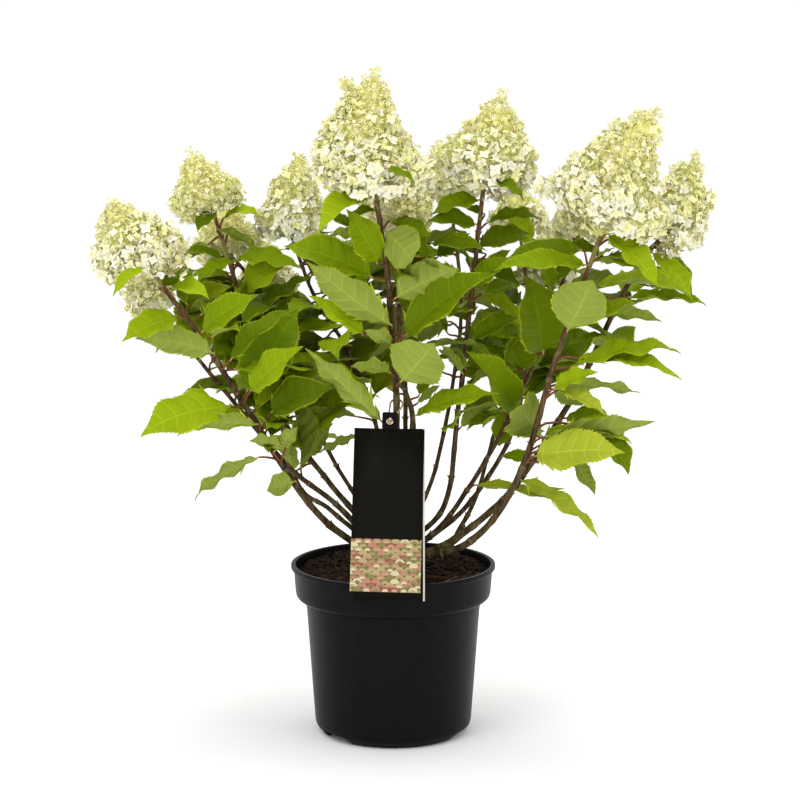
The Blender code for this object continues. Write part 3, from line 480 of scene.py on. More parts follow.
def unit(vector):
    """The vector, or each row of an array, made one long."""
    vector = np.asarray(vector, float)
    return vector / np.maximum(np.linalg.norm(vector, axis=-1, keepdims=True), 1e-9)


def circle(steps):
    """The steps round a ring, and the step after each."""
    side = np.arange(steps)
    return side, (side + 1) % steps


def fan(middle, side, after):
    """Triangles from a middle point to each pair of side and after."""
    return np.stack([np.full(len(side), middle), side, after], 1)


def ring_quads(rings, steps, first=0, inward=False):
    """Quads between rings of points, where the first ring starts at an index."""
    ring, side = np.meshgrid(np.arange(rings - 1), np.arange(steps), indexing="ij")
    after = (side + 1) % steps
    low, high = first + ring * steps, first + (ring + 1) * steps
    quads = np.stack([low + side, low + after, high + after, high + side], -1).reshape(-1, 4)
    return quads[:, (0, 3, 2, 1)] if inward else quads


def tube_faces(rings, steps):
    """Quads of a tube, and the fans of its ends, whose middles come after the rings."""
    side, after = circle(steps)
    last, low = (rings - 1) * steps, rings * steps
    return ring_quads(rings, steps), np.vstack([fan(low, after, side),
                                                fan(low + 1, last + side, last + after)])


def dome_faces(rings, steps):
    """The fan round a dome's top, which is point 0, and the quads of its rings."""
    side, after = circle(steps)
    return fan(0, 1 + side, 1 + after), ring_quads(rings, steps, 1, inward=True)


def step_lengths(route):
    """Lengths of the steps of a route."""
    return np.linalg.norm(np.diff(route, axis=0), axis=1)


def lengths_along(route):
    """How far along the route each of its points lies."""
    return np.concatenate([[0], np.cumsum(step_lengths(route))])


def frames(ups, spins):
    """Turning matrices whose third column is each up vector."""
    helper = np.where(np.abs(ups[:, 2:3]) < 0.9, (0.0, 0.0, 1.0), (1.0, 0.0, 0.0))
    across = unit(np.cross(helper, ups))
    ahead = np.cross(ups, across)
    cos, sin = np.cos(spins)[:, None], np.sin(spins)[:, None]
    return np.stack([across * cos + ahead * sin, ahead * cos - across * sin, ups], axis=-1)


def scattered(template, places, ups, sizes, spins):
    """Copies of a template (verts, faces) at the places, as (verts, faces)."""
    verts, faces = template
    turned = np.einsum("nij,vj->nvi", frames(ups, spins), verts) * sizes[:, None, None]
    verts_out = (turned + places[:, None, :]).reshape(-1, 3)
    faces_out = (faces[None] + (np.arange(len(places)) * len(verts))[:, None, None])
    return verts_out, faces_out.reshape(-1, faces.shape[1])


def smooth_route(points, count):
    """Points at even steps along a Catmull-Rom curve through the given ones."""
    anchors = np.asarray(points, float)
    anchors = np.vstack([2 * anchors[0] - anchors[1], anchors, 2 * anchors[-1] - anchors[-2]])
    spans = len(anchors) - 3
    place = np.linspace(0, spans, count + 1)
    span = np.minimum(place.astype(int), spans - 1)
    t = (place - span)[:, None]
    before, start, end, after = (anchors[span + step] for step in range(4))
    return 0.5 * (2 * start + (end - before) * t
                  + (2 * before - 5 * start + 4 * end - after) * t ** 2
                  + (3 * start - before - 3 * end + after) * t ** 3)


def tube(route, radii, sides, relief=None):
    """A tube along a route, as (verts, quads, triangles). relief[ring, side] scales its radii."""
    route = np.asarray(route, float)
    radii = np.broadcast_to(np.asarray(radii, float), (len(route),))
    relief = np.ones((len(route), sides)) if relief is None else relief
    ways = unit(np.gradient(route, axis=0))
    first = np.array((1.0, 0.0, 0.0)) if abs(ways[0][0]) < 0.8 else np.array((0.0, 1.0, 0.0))
    across = unit(np.cross(ways[0], first))
    angles = 2 * math.pi * np.arange(sides) / sides
    rings = []
    for index, way in enumerate(ways):
        across = unit(across - way * np.dot(across, way))
        ahead = np.cross(way, across)
        scale = radii[index] * relief[index]
        rings.append(route[index] + scale[:, None] * (np.cos(angles)[:, None] * across
                                                      + np.sin(angles)[:, None] * ahead))
    return (np.vstack([*rings, route[0], route[-1]]), *tube_faces(len(route), sides))


def at_pixel(x, y, depth):
    """The point at a depth (Y, in millimetres) that the camera sees at a pixel."""
    cos, sin = math.cos(CAMERA_PITCH), math.sin(CAMERA_PITCH)
    half = FRAME_PIXELS / 2
    ray = (FOCAL_PIXELS * np.array((0, cos, -sin)) + (x - half) * np.array((1, 0, 0))
           + (half - y) * np.array((0, sin, cos)))
    return CAMERA_PLACE + ray * ((depth - CAMERA_PLACE[1]) / ray[1])


def to_pixels(points):
    """Where the camera sees points, as an array of (x, y)."""
    cos, sin = math.cos(CAMERA_PITCH), math.sin(CAMERA_PITCH)
    away = np.asarray(points, float) - CAMERA_PLACE
    depth = away[..., 1] * cos - away[..., 2] * sin
    rise = away[..., 1] * sin + away[..., 2] * cos
    half = FRAME_PIXELS / 2
    return np.stack([half + FOCAL_PIXELS * away[..., 0] / depth,
                     half - FOCAL_PIXELS * rise / depth], -1)


# ---- materials -------------------------------------------------------------------------------

GRAIN_DETAIL = 6.0


def plain(name, colour, roughness, **sockets):
    """A material of one colour. Further shader sockets are named with underscores."""
    material = bpy.data.materials.new(name)
    material.use_nodes = True
    shader = material.node_tree.nodes["Principled BSDF"]
    shader.inputs["Base Color"].default_value = (*colour, 1.0)
    shader.inputs["Roughness"].default_value = roughness
    for socket, value in sockets.items():
        shader.inputs[socket.replace("_", " ")].default_value = value
    return material


def mottled(name, colours, scale, roughness, bump, stretch=(1, 1, 1), gloss=0.3):
    """A material whose colour and relief wander with layered noise."""
    material = plain(name, colours[0], roughness, Specular_IOR_Level=gloss)
    nodes, links = material.node_tree.nodes, material.node_tree.links
    shader = nodes["Principled BSDF"]
    place = nodes.new("ShaderNodeTexCoord")
    mapping = nodes.new("ShaderNodeMapping")
    mapping.inputs["Scale"].default_value = stretch
    grain = nodes.new("ShaderNodeTexNoise")
    grain.inputs["Scale"].default_value = scale
    grain.inputs["Detail"].default_value = GRAIN_DETAIL
    ramp = nodes.new("ShaderNodeValToRGB")
    while len(ramp.color_ramp.elements) < len(colours):
        ramp.color_ramp.elements.new(0.5)
    for index, colour in enumerate(colours):
        element = ramp.color_ramp.elements[index]
        element.position = 0.3 + 0.4 * index / (len(colours) - 1)
        element.color = (*colour, 1.0)
    relief = nodes.new("ShaderNodeBump")
    relief.inputs["Strength"].default_value = bump[0]
    relief.inputs["Distance"].default_value = bump[1]
    links.new(place.outputs["Object"], mapping.inputs["Vector"])
    links.new(mapping.outputs["Vector"], grain.inputs["Vector"])
    links.new(grain.outputs["Fac"], ramp.inputs["Fac"])
    links.new(ramp.outputs["Color"], shader.inputs["Base Color"])
    links.new(grain.outputs["Fac"], relief.inputs["Height"])
    links.new(relief.outputs["Normal"], shader.inputs["Normal"])
    return material


def finish_piece(piece, slot, *nodes):
    """Hands a piece to the frame, in place of the given CAD nodes."""
    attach(piece, "root")
    if nodes:
        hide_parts(*nodes)
    return piece


# ---- stage -----------------------------------------------------------------------------------

def make_stage():
    """The camera, the white surroundings, the lights and the floor."""
    scene = bpy.context.scene
    scene.view_settings.view_transform = "Standard"
    scene.view_settings.look = "None"
    camera_data = bpy.data.cameras.new("camera")
    camera_data.sensor_width = SENSOR_WIDTH
    camera_data.lens = SENSOR_WIDTH * FOCAL_PIXELS / FRAME_PIXELS
    camera_data.clip_end = 1000.0
    camera = bpy.data.objects.new("camera", camera_data)
    camera.location = CAMERA_PLACE * MM
    camera.rotation_euler = (math.pi / 2 - CAMERA_PITCH, 0.0, 0.0)
    scene.collection.objects.link(camera)
    scene.camera = camera

    world = bpy.data.worlds.new("studio")
    world.use_nodes = True
    world.node_tree.nodes["Background"].inputs["Color"].default_value = (1.0, 1.0, 1.0, 1.0)
    world.node_tree.nodes["Background"].inputs["Strength"].default_value = WORLD_STRENGTH
    scene.world = world

    for name, place, size, power in LIGHTS:
        light_data = bpy.data.lights.new(name, "AREA")
        light_data.shape = "SQUARE"
        light_data.size = size
        light_data.energy = power
        light = bpy.data.objects.new(name, light_data)
        light.location = place
        way = Vector(LIGHT_AIM) - Vector(place)
        light.rotation_euler = way.to_track_quat("-Z", "Y").to_euler()
        scene.collection.objects.link(light)

    floor = Bin()
    floor.add([(-FLOOR_REACH, -FLOOR_REACH, 0), (FLOOR_REACH, -FLOOR_REACH, 0),
               (FLOOR_REACH, FLOOR_REACH, 0), (-FLOOR_REACH, FLOOR_REACH, 0)],
              np.array([[0, 1, 2, 3]]), 0)
    paper = plain("floor_paper", FLOOR_COLOUR, 0.9, Specular_IOR_Level=0.0)
    floor = floor.make("floor", [paper])


# ---- pot and compost -------------------------------------------------------------------------

def rounded(profile, corners):
    """A profile with the corners at the given indices cut into short arcs."""
    out = []
    for index, point in enumerate(profile):
        if index in corners:
            radius = corners[index]
            here = np.array(point, float)
            back, ahead = np.array(profile[index - 1], float), np.array(profile[index + 1], float)
            start = here + unit(back - here) * radius
            end = here + unit(ahead - here) * radius
            for t in np.linspace(0, 1, CORNER_STEPS):
                out.append((1 - t) ** 2 * start + 2 * t * (1 - t) * here + t ** 2 * end)
        else:
            out.append(np.array(point, float))
    return np.array(out)


def pot_line():
    """The pot's section: its floor, then up the inside and down the outside."""
    outside = [(RIM_RADIUS, POT_HEIGHT), (RIM_RADIUS, POT_HEIGHT - 4.6),
               (BAND_RADIUS + 0.6, POT_HEIGHT - 6.2), (BAND_RADIUS - 1.3, BAND_BOTTOM + 9.0),
               (BAND_RADIUS - 2.6, BAND_BOTTOM + 5.0), (BAND_RADIUS - 6.4, BAND_BOTTOM + 1.9),
               (BODY_TOP_RADIUS + 0.2, BAND_BOTTOM), (BODY_TOP_RADIUS - 0.6, BAND_BOTTOM - 9.0),
               (BODY_TOP_RADIUS - 0.9, BAND_BOTTOM - 10.2),
               (BODY_BOTTOM_RADIUS, BODY_BOTTOM), (BODY_BOTTOM_RADIUS - 1.8, BODY_BOTTOM - 4.5),
               (FOOT_RADIUS, 0.0)]
    inside = [(FOOT_RADIUS - 5.5, FLOOR),
              (BODY_BOTTOM_RADIUS - POT_WALL - 1.2, BODY_BOTTOM - 2.0),
              (BODY_TOP_RADIUS - POT_WALL, BAND_BOTTOM - 1.0),
              (BAND_RADIUS - POT_WALL - 3.0, BAND_BOTTOM + 5.0),
              (BAND_RADIUS - POT_WALL, BAND_BOTTOM + 12.0),
              (BAND_RADIUS - POT_WALL + 0.9, POT_HEIGHT)]
    profile = [(0.0, FLOOR), *inside, *outside, (0.0, 0.0)]
    first = 1 + len(inside)
    corners = {first - 1: 0.8, first: 1.2, first + 1: 0.9, first + 2: 1.0, first + 3: 3.0,
               first + 4: 2.2, first + 5: 2.4, first + 9: 3.0, first + 10: 2.0, first + 11: 2.0}
    return rounded(profile, corners)


def notch_cutter(name):
    """A block with narrowed upper edges, with its middle at the floor."""
    half, depth, height = NOTCH_WIDTH / 2, NOTCH_DEPTH / 2, NOTCH_HEIGHT
    verts = [(x, y, z) for wide, z in ((half, -height), (half, height * NOTCH_SHOULDER),
                                       (half * NOTCH_TAPER, height))
             for x, y in ((-wide, -depth), (wide, -depth), (wide, depth), (-wide, depth))]
    cutter = Bin()
    cutter.add(verts, np.array([[3, 2, 1, 0], [0, 1, 5, 4], [1, 2, 6, 5], [2, 3, 7, 6],
                                [3, 0, 4, 7], [4, 5, 9, 8], [5, 6, 10, 9], [6, 7, 11, 10],
                                [7, 4, 8, 11], [8, 9, 10, 11]]), 0)
    return cutter.make(name, [])


def make_pot():
    """The pot turned from its section, with notches cut into its foot."""
    line = pot_line()
    angles = 2 * math.pi * np.arange(POT_STEPS) / POT_STEPS
    verts = np.concatenate([np.stack([radius * np.cos(angles), radius * np.sin(angles),
                                      np.full(POT_STEPS, height)], 1)
                            for radius, height in line])
    bin_ = Bin()
    bin_.add(verts, ring_quads(len(line), POT_STEPS, inward=True), 0)
    black = mottled("pot_black_plastic", POT_COLOURS, 90.0, 0.40, (0.10, 0.0004), gloss=0.07)
    pot = bin_.make("pot_moulded", [black])
    weld = pot.modifiers.new("weld", "WELD")
    weld.merge_threshold = 0.00005
    for index in range(NOTCH_COUNT):
        cutter = notch_cutter(f"notch_{index}")
        angle = math.radians(NOTCH_FIRST + index * 360.0 / NOTCH_COUNT)
        reach = (FOOT_RADIUS + 1.0) * MM
        cutter.location = (reach * math.sin(angle), -reach * math.cos(angle), 0.0)
        cutter.rotation_euler = (0.0, 0.0, angle)
        cut = pot.modifiers.new("cut", "BOOLEAN")
        cut.operation, cut.solver, cut.object = "DIFFERENCE", "EXACT", cutter
    bpy.context.view_layer.update()
    graph = bpy.context.evaluated_depsgraph_get()
    mesh = bpy.data.meshes.new_from_object(pot.evaluated_get(graph))
    pot.modifiers.clear()
    pot.data = mesh
    for item in [thing for thing in bpy.data.objects if thing.name.startswith("notch_")]:
        bpy.data.objects.remove(item)
    mesh.shade_smooth()
    mesh.set_sharp_from_angle(angle=math.radians(POT_SHARP))
    finish_piece(pot, "pot_plastic", "pot")


def compost_height(x, y):
    """Height of the compost's surface: heaped, sloping up to the back, and uneven."""
    radius = np.hypot(x, y)
    base = (COMPOST_LEVEL + COMPOST_HEAP * (1 - (radius / COMPOST_RADIUS) ** 2)
            + COMPOST_SLOPE * y / COMPOST_RADIUS)
    bumps = [sum(high * noise.noise(Vector((a * scale, b * scale, seed)))
                 for high, scale, seed in COMPOST_BUMPS)
             for a, b in zip(np.ravel(x), np.ravel(y))]
    return base + np.array(bumps).reshape(np.shape(x)) - COMPOST_SINK


def chip_template(dice, length, width, thick):
    """An uneven flake or fibre with broken ends."""
    ends = np.array([(-0.5, -0.42, -0.4), (-0.5, 0.42, -0.5), (-0.5, 0.4, 0.5), (-0.5, -0.4, 0.4),
                     (0.0, -0.5, -0.5), (0.0, 0.5, -0.4), (0.0, 0.46, 0.6), (0.0, -0.5, 0.5),
                     (0.5, -0.36, -0.4), (0.5, 0.30, -0.5), (0.5, 0.36, 0.3), (0.5, -0.3, 0.4)])
    verts = (ends + dice.uniform(-0.13, 0.13, ends.shape)) * (length, width, thick)
    verts[:, 2] += 0.10 * length * (1 - (2 * ends[:, 0]) ** 2) * dice.uniform(-1, 1)
    quads = [[0, 1, 2, 3], [11, 10, 9, 8]]
    for start in (0, 4):
        for side in range(4):
            after = (side + 1) % 4
            quads.append([start + side, start + 4 + side, start + 4 + after, start + after])
    return verts, np.array(quads)


def make_compost():
    """The surface of the compost with bark chips and fibres strewn over it."""
    dice = np.random.default_rng(41)
    steps, rings = COMPOST_STEPS, COMPOST_RINGS
    radii = COMPOST_RADIUS * np.linspace(0, 1, rings + 1)[1:] ** 0.8
    angles = 2 * math.pi * np.arange(steps) / steps
    x = np.concatenate([[0.0], (radii[:, None] * np.cos(angles)).ravel()])
    y = np.concatenate([[0.0], (radii[:, None] * np.sin(angles)).ravel()])
    verts = np.stack([x, y, compost_height(x, y)], 1)
    side, after = circle(steps)
    edge, base = 1 + (rings - 1) * steps, len(verts)
    skirt_level = COMPOST_LEVEL - COMPOST_SKIRT
    skirt = verts[edge:edge + steps] * (1, 1, 0) + (0, 0, skirt_level)
    verts = np.vstack([verts, skirt, (0, 0, skirt_level)])
    wall = np.stack([edge + side, base + side, base + after, edge + after], 1)
    bin_ = Bin()
    bin_.add(verts, [*dome_faces(rings, steps), wall, fan(base + steps, base + after, base + side)],
             [0, 0, 0, 0])

    for lengths, widths, thicks, count, looks in CHIPS:
        templates = [chip_template(dice, dice.uniform(*lengths), dice.uniform(*widths),
                                   dice.uniform(*thicks)) for _ in range(CHIP_SHAPES)]
        for template in templates:
            some = count // len(templates)
            reach = (COMPOST_RADIUS - CHIP_INSET - 0.42 * template[0][:, 0].max()) * np.sqrt(
                dice.uniform(0, 1, some))
            turn = dice.uniform(0, 2 * math.pi, some)
            px, py = reach * np.cos(turn), reach * np.sin(turn)
            tilt = dice.uniform(-CHIP_TILT, CHIP_TILT, (some, 2))
            tilt = tilt * (CHIP_FLATTER if lengths[0] > CHIP_LONG else 1.0)
            ups = unit(np.stack([tilt[:, 0], tilt[:, 1], np.ones(some)], 1))
            places = np.stack([px, py, compost_height(px, py) + dice.uniform(0.2, 1.5, some)], 1)
            made = scattered(template, places, ups, dice.uniform(0.75, 1.2, some),
                             dice.uniform(0, 2 * math.pi, some))
            bin_.add(*made, int(dice.choice(looks)))
    looks = [plain(name, colour, 0.9, Specular_IOR_Level=0.12)
             for name, colour in COMPOST_COLOURS]
    finish_piece(bin_.make("compost_chips", looks), "compost", "compost")


# ---- stems -----------------------------------------------------------------------------------

ROUTES = {name: smooth_route(points, 90) for name, (_, _, points) in STEMS.items()}


def stem_frame(name, share):
    """A point on a stem and the stem's way there."""
    route = ROUTES[name]
    place = share * (len(route) - 1)
    low = int(min(place, len(route) - 2))
    point = route[low] + (route[low + 1] - route[low]) * (place - low)
    return point, unit(route[min(low + 2, len(route) - 1)] - route[max(low - 1, 0)])


def add_tube(bin_, route, radii, sides, slot):
    """Adds a tube of one material."""
    verts, quads, tris = tube(route, radii, sides)
    bin_.add(verts, [quads, tris], [slot, slot])


def add_twig(bin_, points, radii, slot, sides=6, count=5):
    """A smooth twig through some points, between two radii."""
    route = smooth_route(points, count)
    add_tube(bin_, route, np.linspace(*radii, len(route)), sides, slot)


def bark_relief(values, sides, layers):
    """Relief of a tube's rings. layers: height, step from side to side, scale along, seed."""
    return np.array([[sum((high * noise.noise(Vector((side * step, value * scale, seed)))
                           for high, step, scale, seed in layers), 1)
                      for side in range(sides)] for value in values])


def add_stem(bin_, name, marks, dice):
    """One stem, swollen and kinked at its nodes, with a pair of bud scars at each."""
    foot, tip, points = STEMS[name]
    route = smooth_route(points, STEM_RINGS)
    share = np.linspace(0, 1, STEM_RINGS + 1)
    length = lengths_along(route)
    radii = foot + (tip - foot) * share
    wobble = np.array([noise.noise(Vector((value * 0.035, foot * 7.0, 2.0)))
                       for value in length])
    radii = radii * (1.0 + STEM_WOBBLE * wobble)
    near_node = np.zeros(STEM_RINGS + 1)
    kinks = np.zeros_like(route)
    for mark in marks:
        away = np.abs(length - mark)
        radii = radii * (1 + NODE_SWELL * np.exp(-(away / NODE_LENGTH) ** 2))
        near_node = np.maximum(near_node, np.exp(-(away / NODE_BAND) ** 2))
        way = dice.normal(size=3)
        kinks += NODE_KINK * unit(way) * np.exp(-(away / NODE_REACH) ** 2)[:, None]
    relief = bark_relief(length, STEM_SIDES, ((0.07, 1.9, 0.06, foot), (0.035, 5.3, 0.4, foot + 9)))
    verts, quads, tris = tube(route + kinks, radii, STEM_SIDES, relief)
    ring_of = quads[:, 0] // STEM_SIDES
    edges = (*(THICK_BARK if foot > THICK_FOOT else THIN_BARK), GREEN_TIPS.get(name, GREEN_TIP))
    slot = np.digitize(share[ring_of] + dice.uniform(-0.02, 0.02, len(quads)), edges)
    slot = np.where((near_node[ring_of] > 0.6) & (slot < TIP), NODE, slot)
    bin_.add(verts, [quads, tris], [slot, np.repeat((MID, TIP), STEM_SIDES)])
    for index, mark in enumerate(marks):
        where = np.interp(mark, length, share)
        point, way = stem_frame(name, where)
        angle = index * math.pi / 2 + foot
        across = unit(np.cross(way, (math.sin(angle), math.cos(angle), 0.2)))
        radius = foot + (tip - foot) * where
        for sign in (1, -1):
            start = point + across * sign * radius * 0.7
            end = point + across * sign * (radius + dice.uniform(1.2, 2.6)) + way * 3.2
            add_twig(bin_, (start, (start + end) / 2 + way * 0.2, end), SCAR_RADII, NODE, 5, 2)


def add_arm(bin_):
    """The short pruned arm and its two spurs."""
    share = np.linspace(0, 1, ARM_RINGS + 1)
    relief = bark_relief(share, ARM_SIDES, ((0.10, 1.3, 9.0, 3.0), (0.05, 4.1, 30.0, 5.0)))
    radii = ARM_RADII[0] + (ARM_RADII[1] - ARM_RADII[0]) * share
    verts, quads, tris = tube(smooth_route(ARM_ROUTE, ARM_RINGS), radii, ARM_SIDES, relief)
    bin_.add(verts, [quads, tris], [LICHEN, np.repeat((LICHEN, NODE), ARM_SIDES)])
    for points in ARM_SPURS:
        add_twig(bin_, points, SPUR_RADII, LICHEN, 8, 4)


def add_base(bin_):
    """The old wood at the foot, an uneven dome that widens downwards."""
    verts = [(0.0, 0.0, 1.0)]
    for ring in range(1, BASE_RINGS + 1):
        polar = math.pi * BASE_POLAR * ring / BASE_RINGS
        for step in range(BASE_STEPS):
            angle = 2 * math.pi * step / BASE_STEPS
            verts.append((math.sin(polar) * math.cos(angle), math.sin(polar) * math.sin(angle),
                          math.cos(polar)))
    verts = np.array(verts)
    swell = np.array([sum((high * noise.noise(Vector(vert) * scale)
                           for high, scale in BASE_BUMPS), 1) for vert in verts])
    flare = 1 + BASE_FLARE * np.maximum(0, -verts[:, 2])
    verts = verts * swell[:, None] * BASE_SIZE
    verts[:, :2] *= flare[:, None]
    bin_.add(verts + BASE_CENTRE, dome_faces(BASE_RINGS, BASE_STEPS), [OLD, LICHEN])


def make_stems(nodes_by_stem):
    """All stems, the pruned arm and the base as one piece."""
    dice = np.random.default_rng(7)
    bin_ = Bin()
    looks = [mottled(*row[:5], stretch=row[5], gloss=row[6]) for row in BARKS]
    for name in STEMS:
        add_stem(bin_, name, nodes_by_stem[name], dice)
    add_arm(bin_)
    add_base(bin_)
    names = ["stem_" + name for name in STEMS] + ["woody_arm", "woody_base"]
    finish_piece(bin_.make("bark_stems", looks, smooth=50), "bark", *names)


# ---- leaves ----------------------------------------------------------------------------------

VEINS = 6
COLUMNS = (-1.0, -0.955, -0.72, -0.42, -0.035, 0.035, 0.42, 0.72, 0.955, 1.0)
VEIN_HALF = 0.006
VEIN_FIRST = 0.075
VEIN_SPAN = 0.79
LEAF_END = 0.985
LEAF_THICKNESS = 0.35
ARCH_STEPS = 40
PETIOLE_SIDES = 6
PETIOLE_RINGS = 8
PETIOLE_RED = 6          # rings of a petiole that are red
PETIOLE_RADIUS = 1.45
UPPER_TONES = {"d": (0.124, 0.186, 0.0006), "m": (0.186, 0.270, 0.0014),
               "b": (0.290, 0.390, 0.0050), "y": (0.380, 0.440, 0.030),
               "k": (0.088, 0.132, 0.0004), "o": (0.164, 0.208, 0.0014),
               "e": (0.134, 0.218, 0.0014), "l": (0.238, 0.332, 0.0030)}
UNDER_TONES = {"p": (0.268, 0.326, 0.052), "g": (0.214, 0.272, 0.034)}
# the upper side's rim and teeth mix towards this light green: a painted highlight where light
# catches the leaf's edge
RIM_HIGHLIGHT_COLOUR = (0.47, 0.56, 0.024)
RIM_HIGHLIGHT_SHARE = 0.38
PETIOLE_COLOURS = {"petiole_red": (0.20, 0.070, 0.030), "petiole_green": (0.36, 0.34, 0.08)}


def leaf_rows():
    """Rows along the leaf as (place on the midrib, height between veins, on a vein)."""
    veins = [VEIN_FIRST + VEIN_SPAN * (k / (VEINS - 1)) ** 0.93 for k in range(VEINS)]
    rows = [(0.0, 0.0), (0.035, 0.6)]
    for k, vein in enumerate(veins):
        rows += [(vein - VEIN_HALF, 0.0), (vein + VEIN_HALF, 0.0)]
        after = veins[k + 1] if k + 1 < VEINS else LEAF_END
        gap = after - vein
        rows += [(vein + gap * f, math.sin(math.pi * f) ** 0.7) for f in (0.33, 0.68)]
    rows += [(LEAF_END, 0.0), (1.0, 0.0)]
    return np.array(rows)


ROWS = leaf_rows()
ROW_COUNT, COLUMN_COUNT = len(ROWS), len(COLUMNS)


def leaf_faces():
    """Faces of the two sides, the teeth and the ends, and the zone of each.

    Zones: 0 upper side, 1 its veins, 2 its rim and teeth with a painted highlight, 3 underside, 4
    its veins.
    """
    inner = COLUMN_COUNT - 2
    under = ROW_COUNT * COLUMN_COUNT

    def top(row, column):
        return row * COLUMN_COUNT + column

    def low(row, column):
        if column in (0, COLUMN_COUNT - 1):
            return top(row, column)
        return under + row * inner + column - 1

    quads, quad_zones, tris, tri_zones = [], [], [], []
    tooth = under + ROW_COUNT * inner
    teeth, tooth_corners = [], []
    middle = COLUMN_COUNT // 2 - 1
    for row in range(ROW_COUNT - 1):
        here, ahead = ROWS[row], ROWS[row + 1]
        vein = here[1] == 0 and ahead[1] == 0 and ahead[0] - here[0] < 2.1 * VEIN_HALF
        for column in range(COLUMN_COUNT - 1):
            after = column + 1
            quads.append((top(row, column), top(row, after), top(row + 1, after),
                          top(row + 1, column)))
            rib = column == middle or (vein and 1 < column < COLUMN_COUNT - 2)
            # the outermost strips of the upper side take the rim's painted highlight
            rim = column in (0, COLUMN_COUNT - 2)
            quad_zones.append(1 if rib else 2 if rim else 0)
            quads.append((low(row, column), low(row + 1, column), low(row + 1, after),
                          low(row, after)))
            quad_zones.append(4 if rib else 3)
        if not vein and 0 < row < ROW_COUNT - 2:
            for column, sign in ((0, -1), (COLUMN_COUNT - 1, 1)):
                teeth.append((row, sign))
                corners = (top(row, column), tooth, top(row + 1, column))
                tooth_corners += corners if sign > 0 else corners[::-1]
                tooth += 1
    for row in (0, ROW_COUNT - 1):
        for column in range(1, COLUMN_COUNT - 2):
            after = column + 1
            ends = (top(row, column), low(row, column), low(row, after), top(row, after))
            quads.append(ends if row == 0 else ends[::-1])
            quad_zones.append(3)
        for column, edge in ((1, 0), (COLUMN_COUNT - 2, COLUMN_COUNT - 1)):
            tris.append((top(row, edge), low(row, column), top(row, column)))
            tri_zones.append(3)
    tris += (tooth + np.arange(len(tooth_corners))).reshape(-1, 3).tolist()
    tri_zones += [2] * len(teeth)
    return (np.array(quads), np.array(quad_zones), np.array(tris), np.array(tri_zones),
            np.array(teeth), np.array(tooth_corners))


(LEAF_QUADS, LEAF_QUAD_ZONES, LEAF_TRIS, LEAF_TRI_ZONES, LEAF_TEETH,
 TOOTH_CORNERS) = leaf_faces()


def half_width(t):
    """The blade's half width along its length, 1 at its widest."""
    t = np.clip(t, 0.0, 1.0)
    body = t ** 0.80 * (1 - t) ** 1.06 / (0.430 ** 0.80 * 0.570 ** 1.06)
    drawn = np.clip((t - 0.70) / 0.24, 0, 1)
    return body * (1 - 0.42 * drawn * drawn * (3 - 2 * drawn)) + 0.012


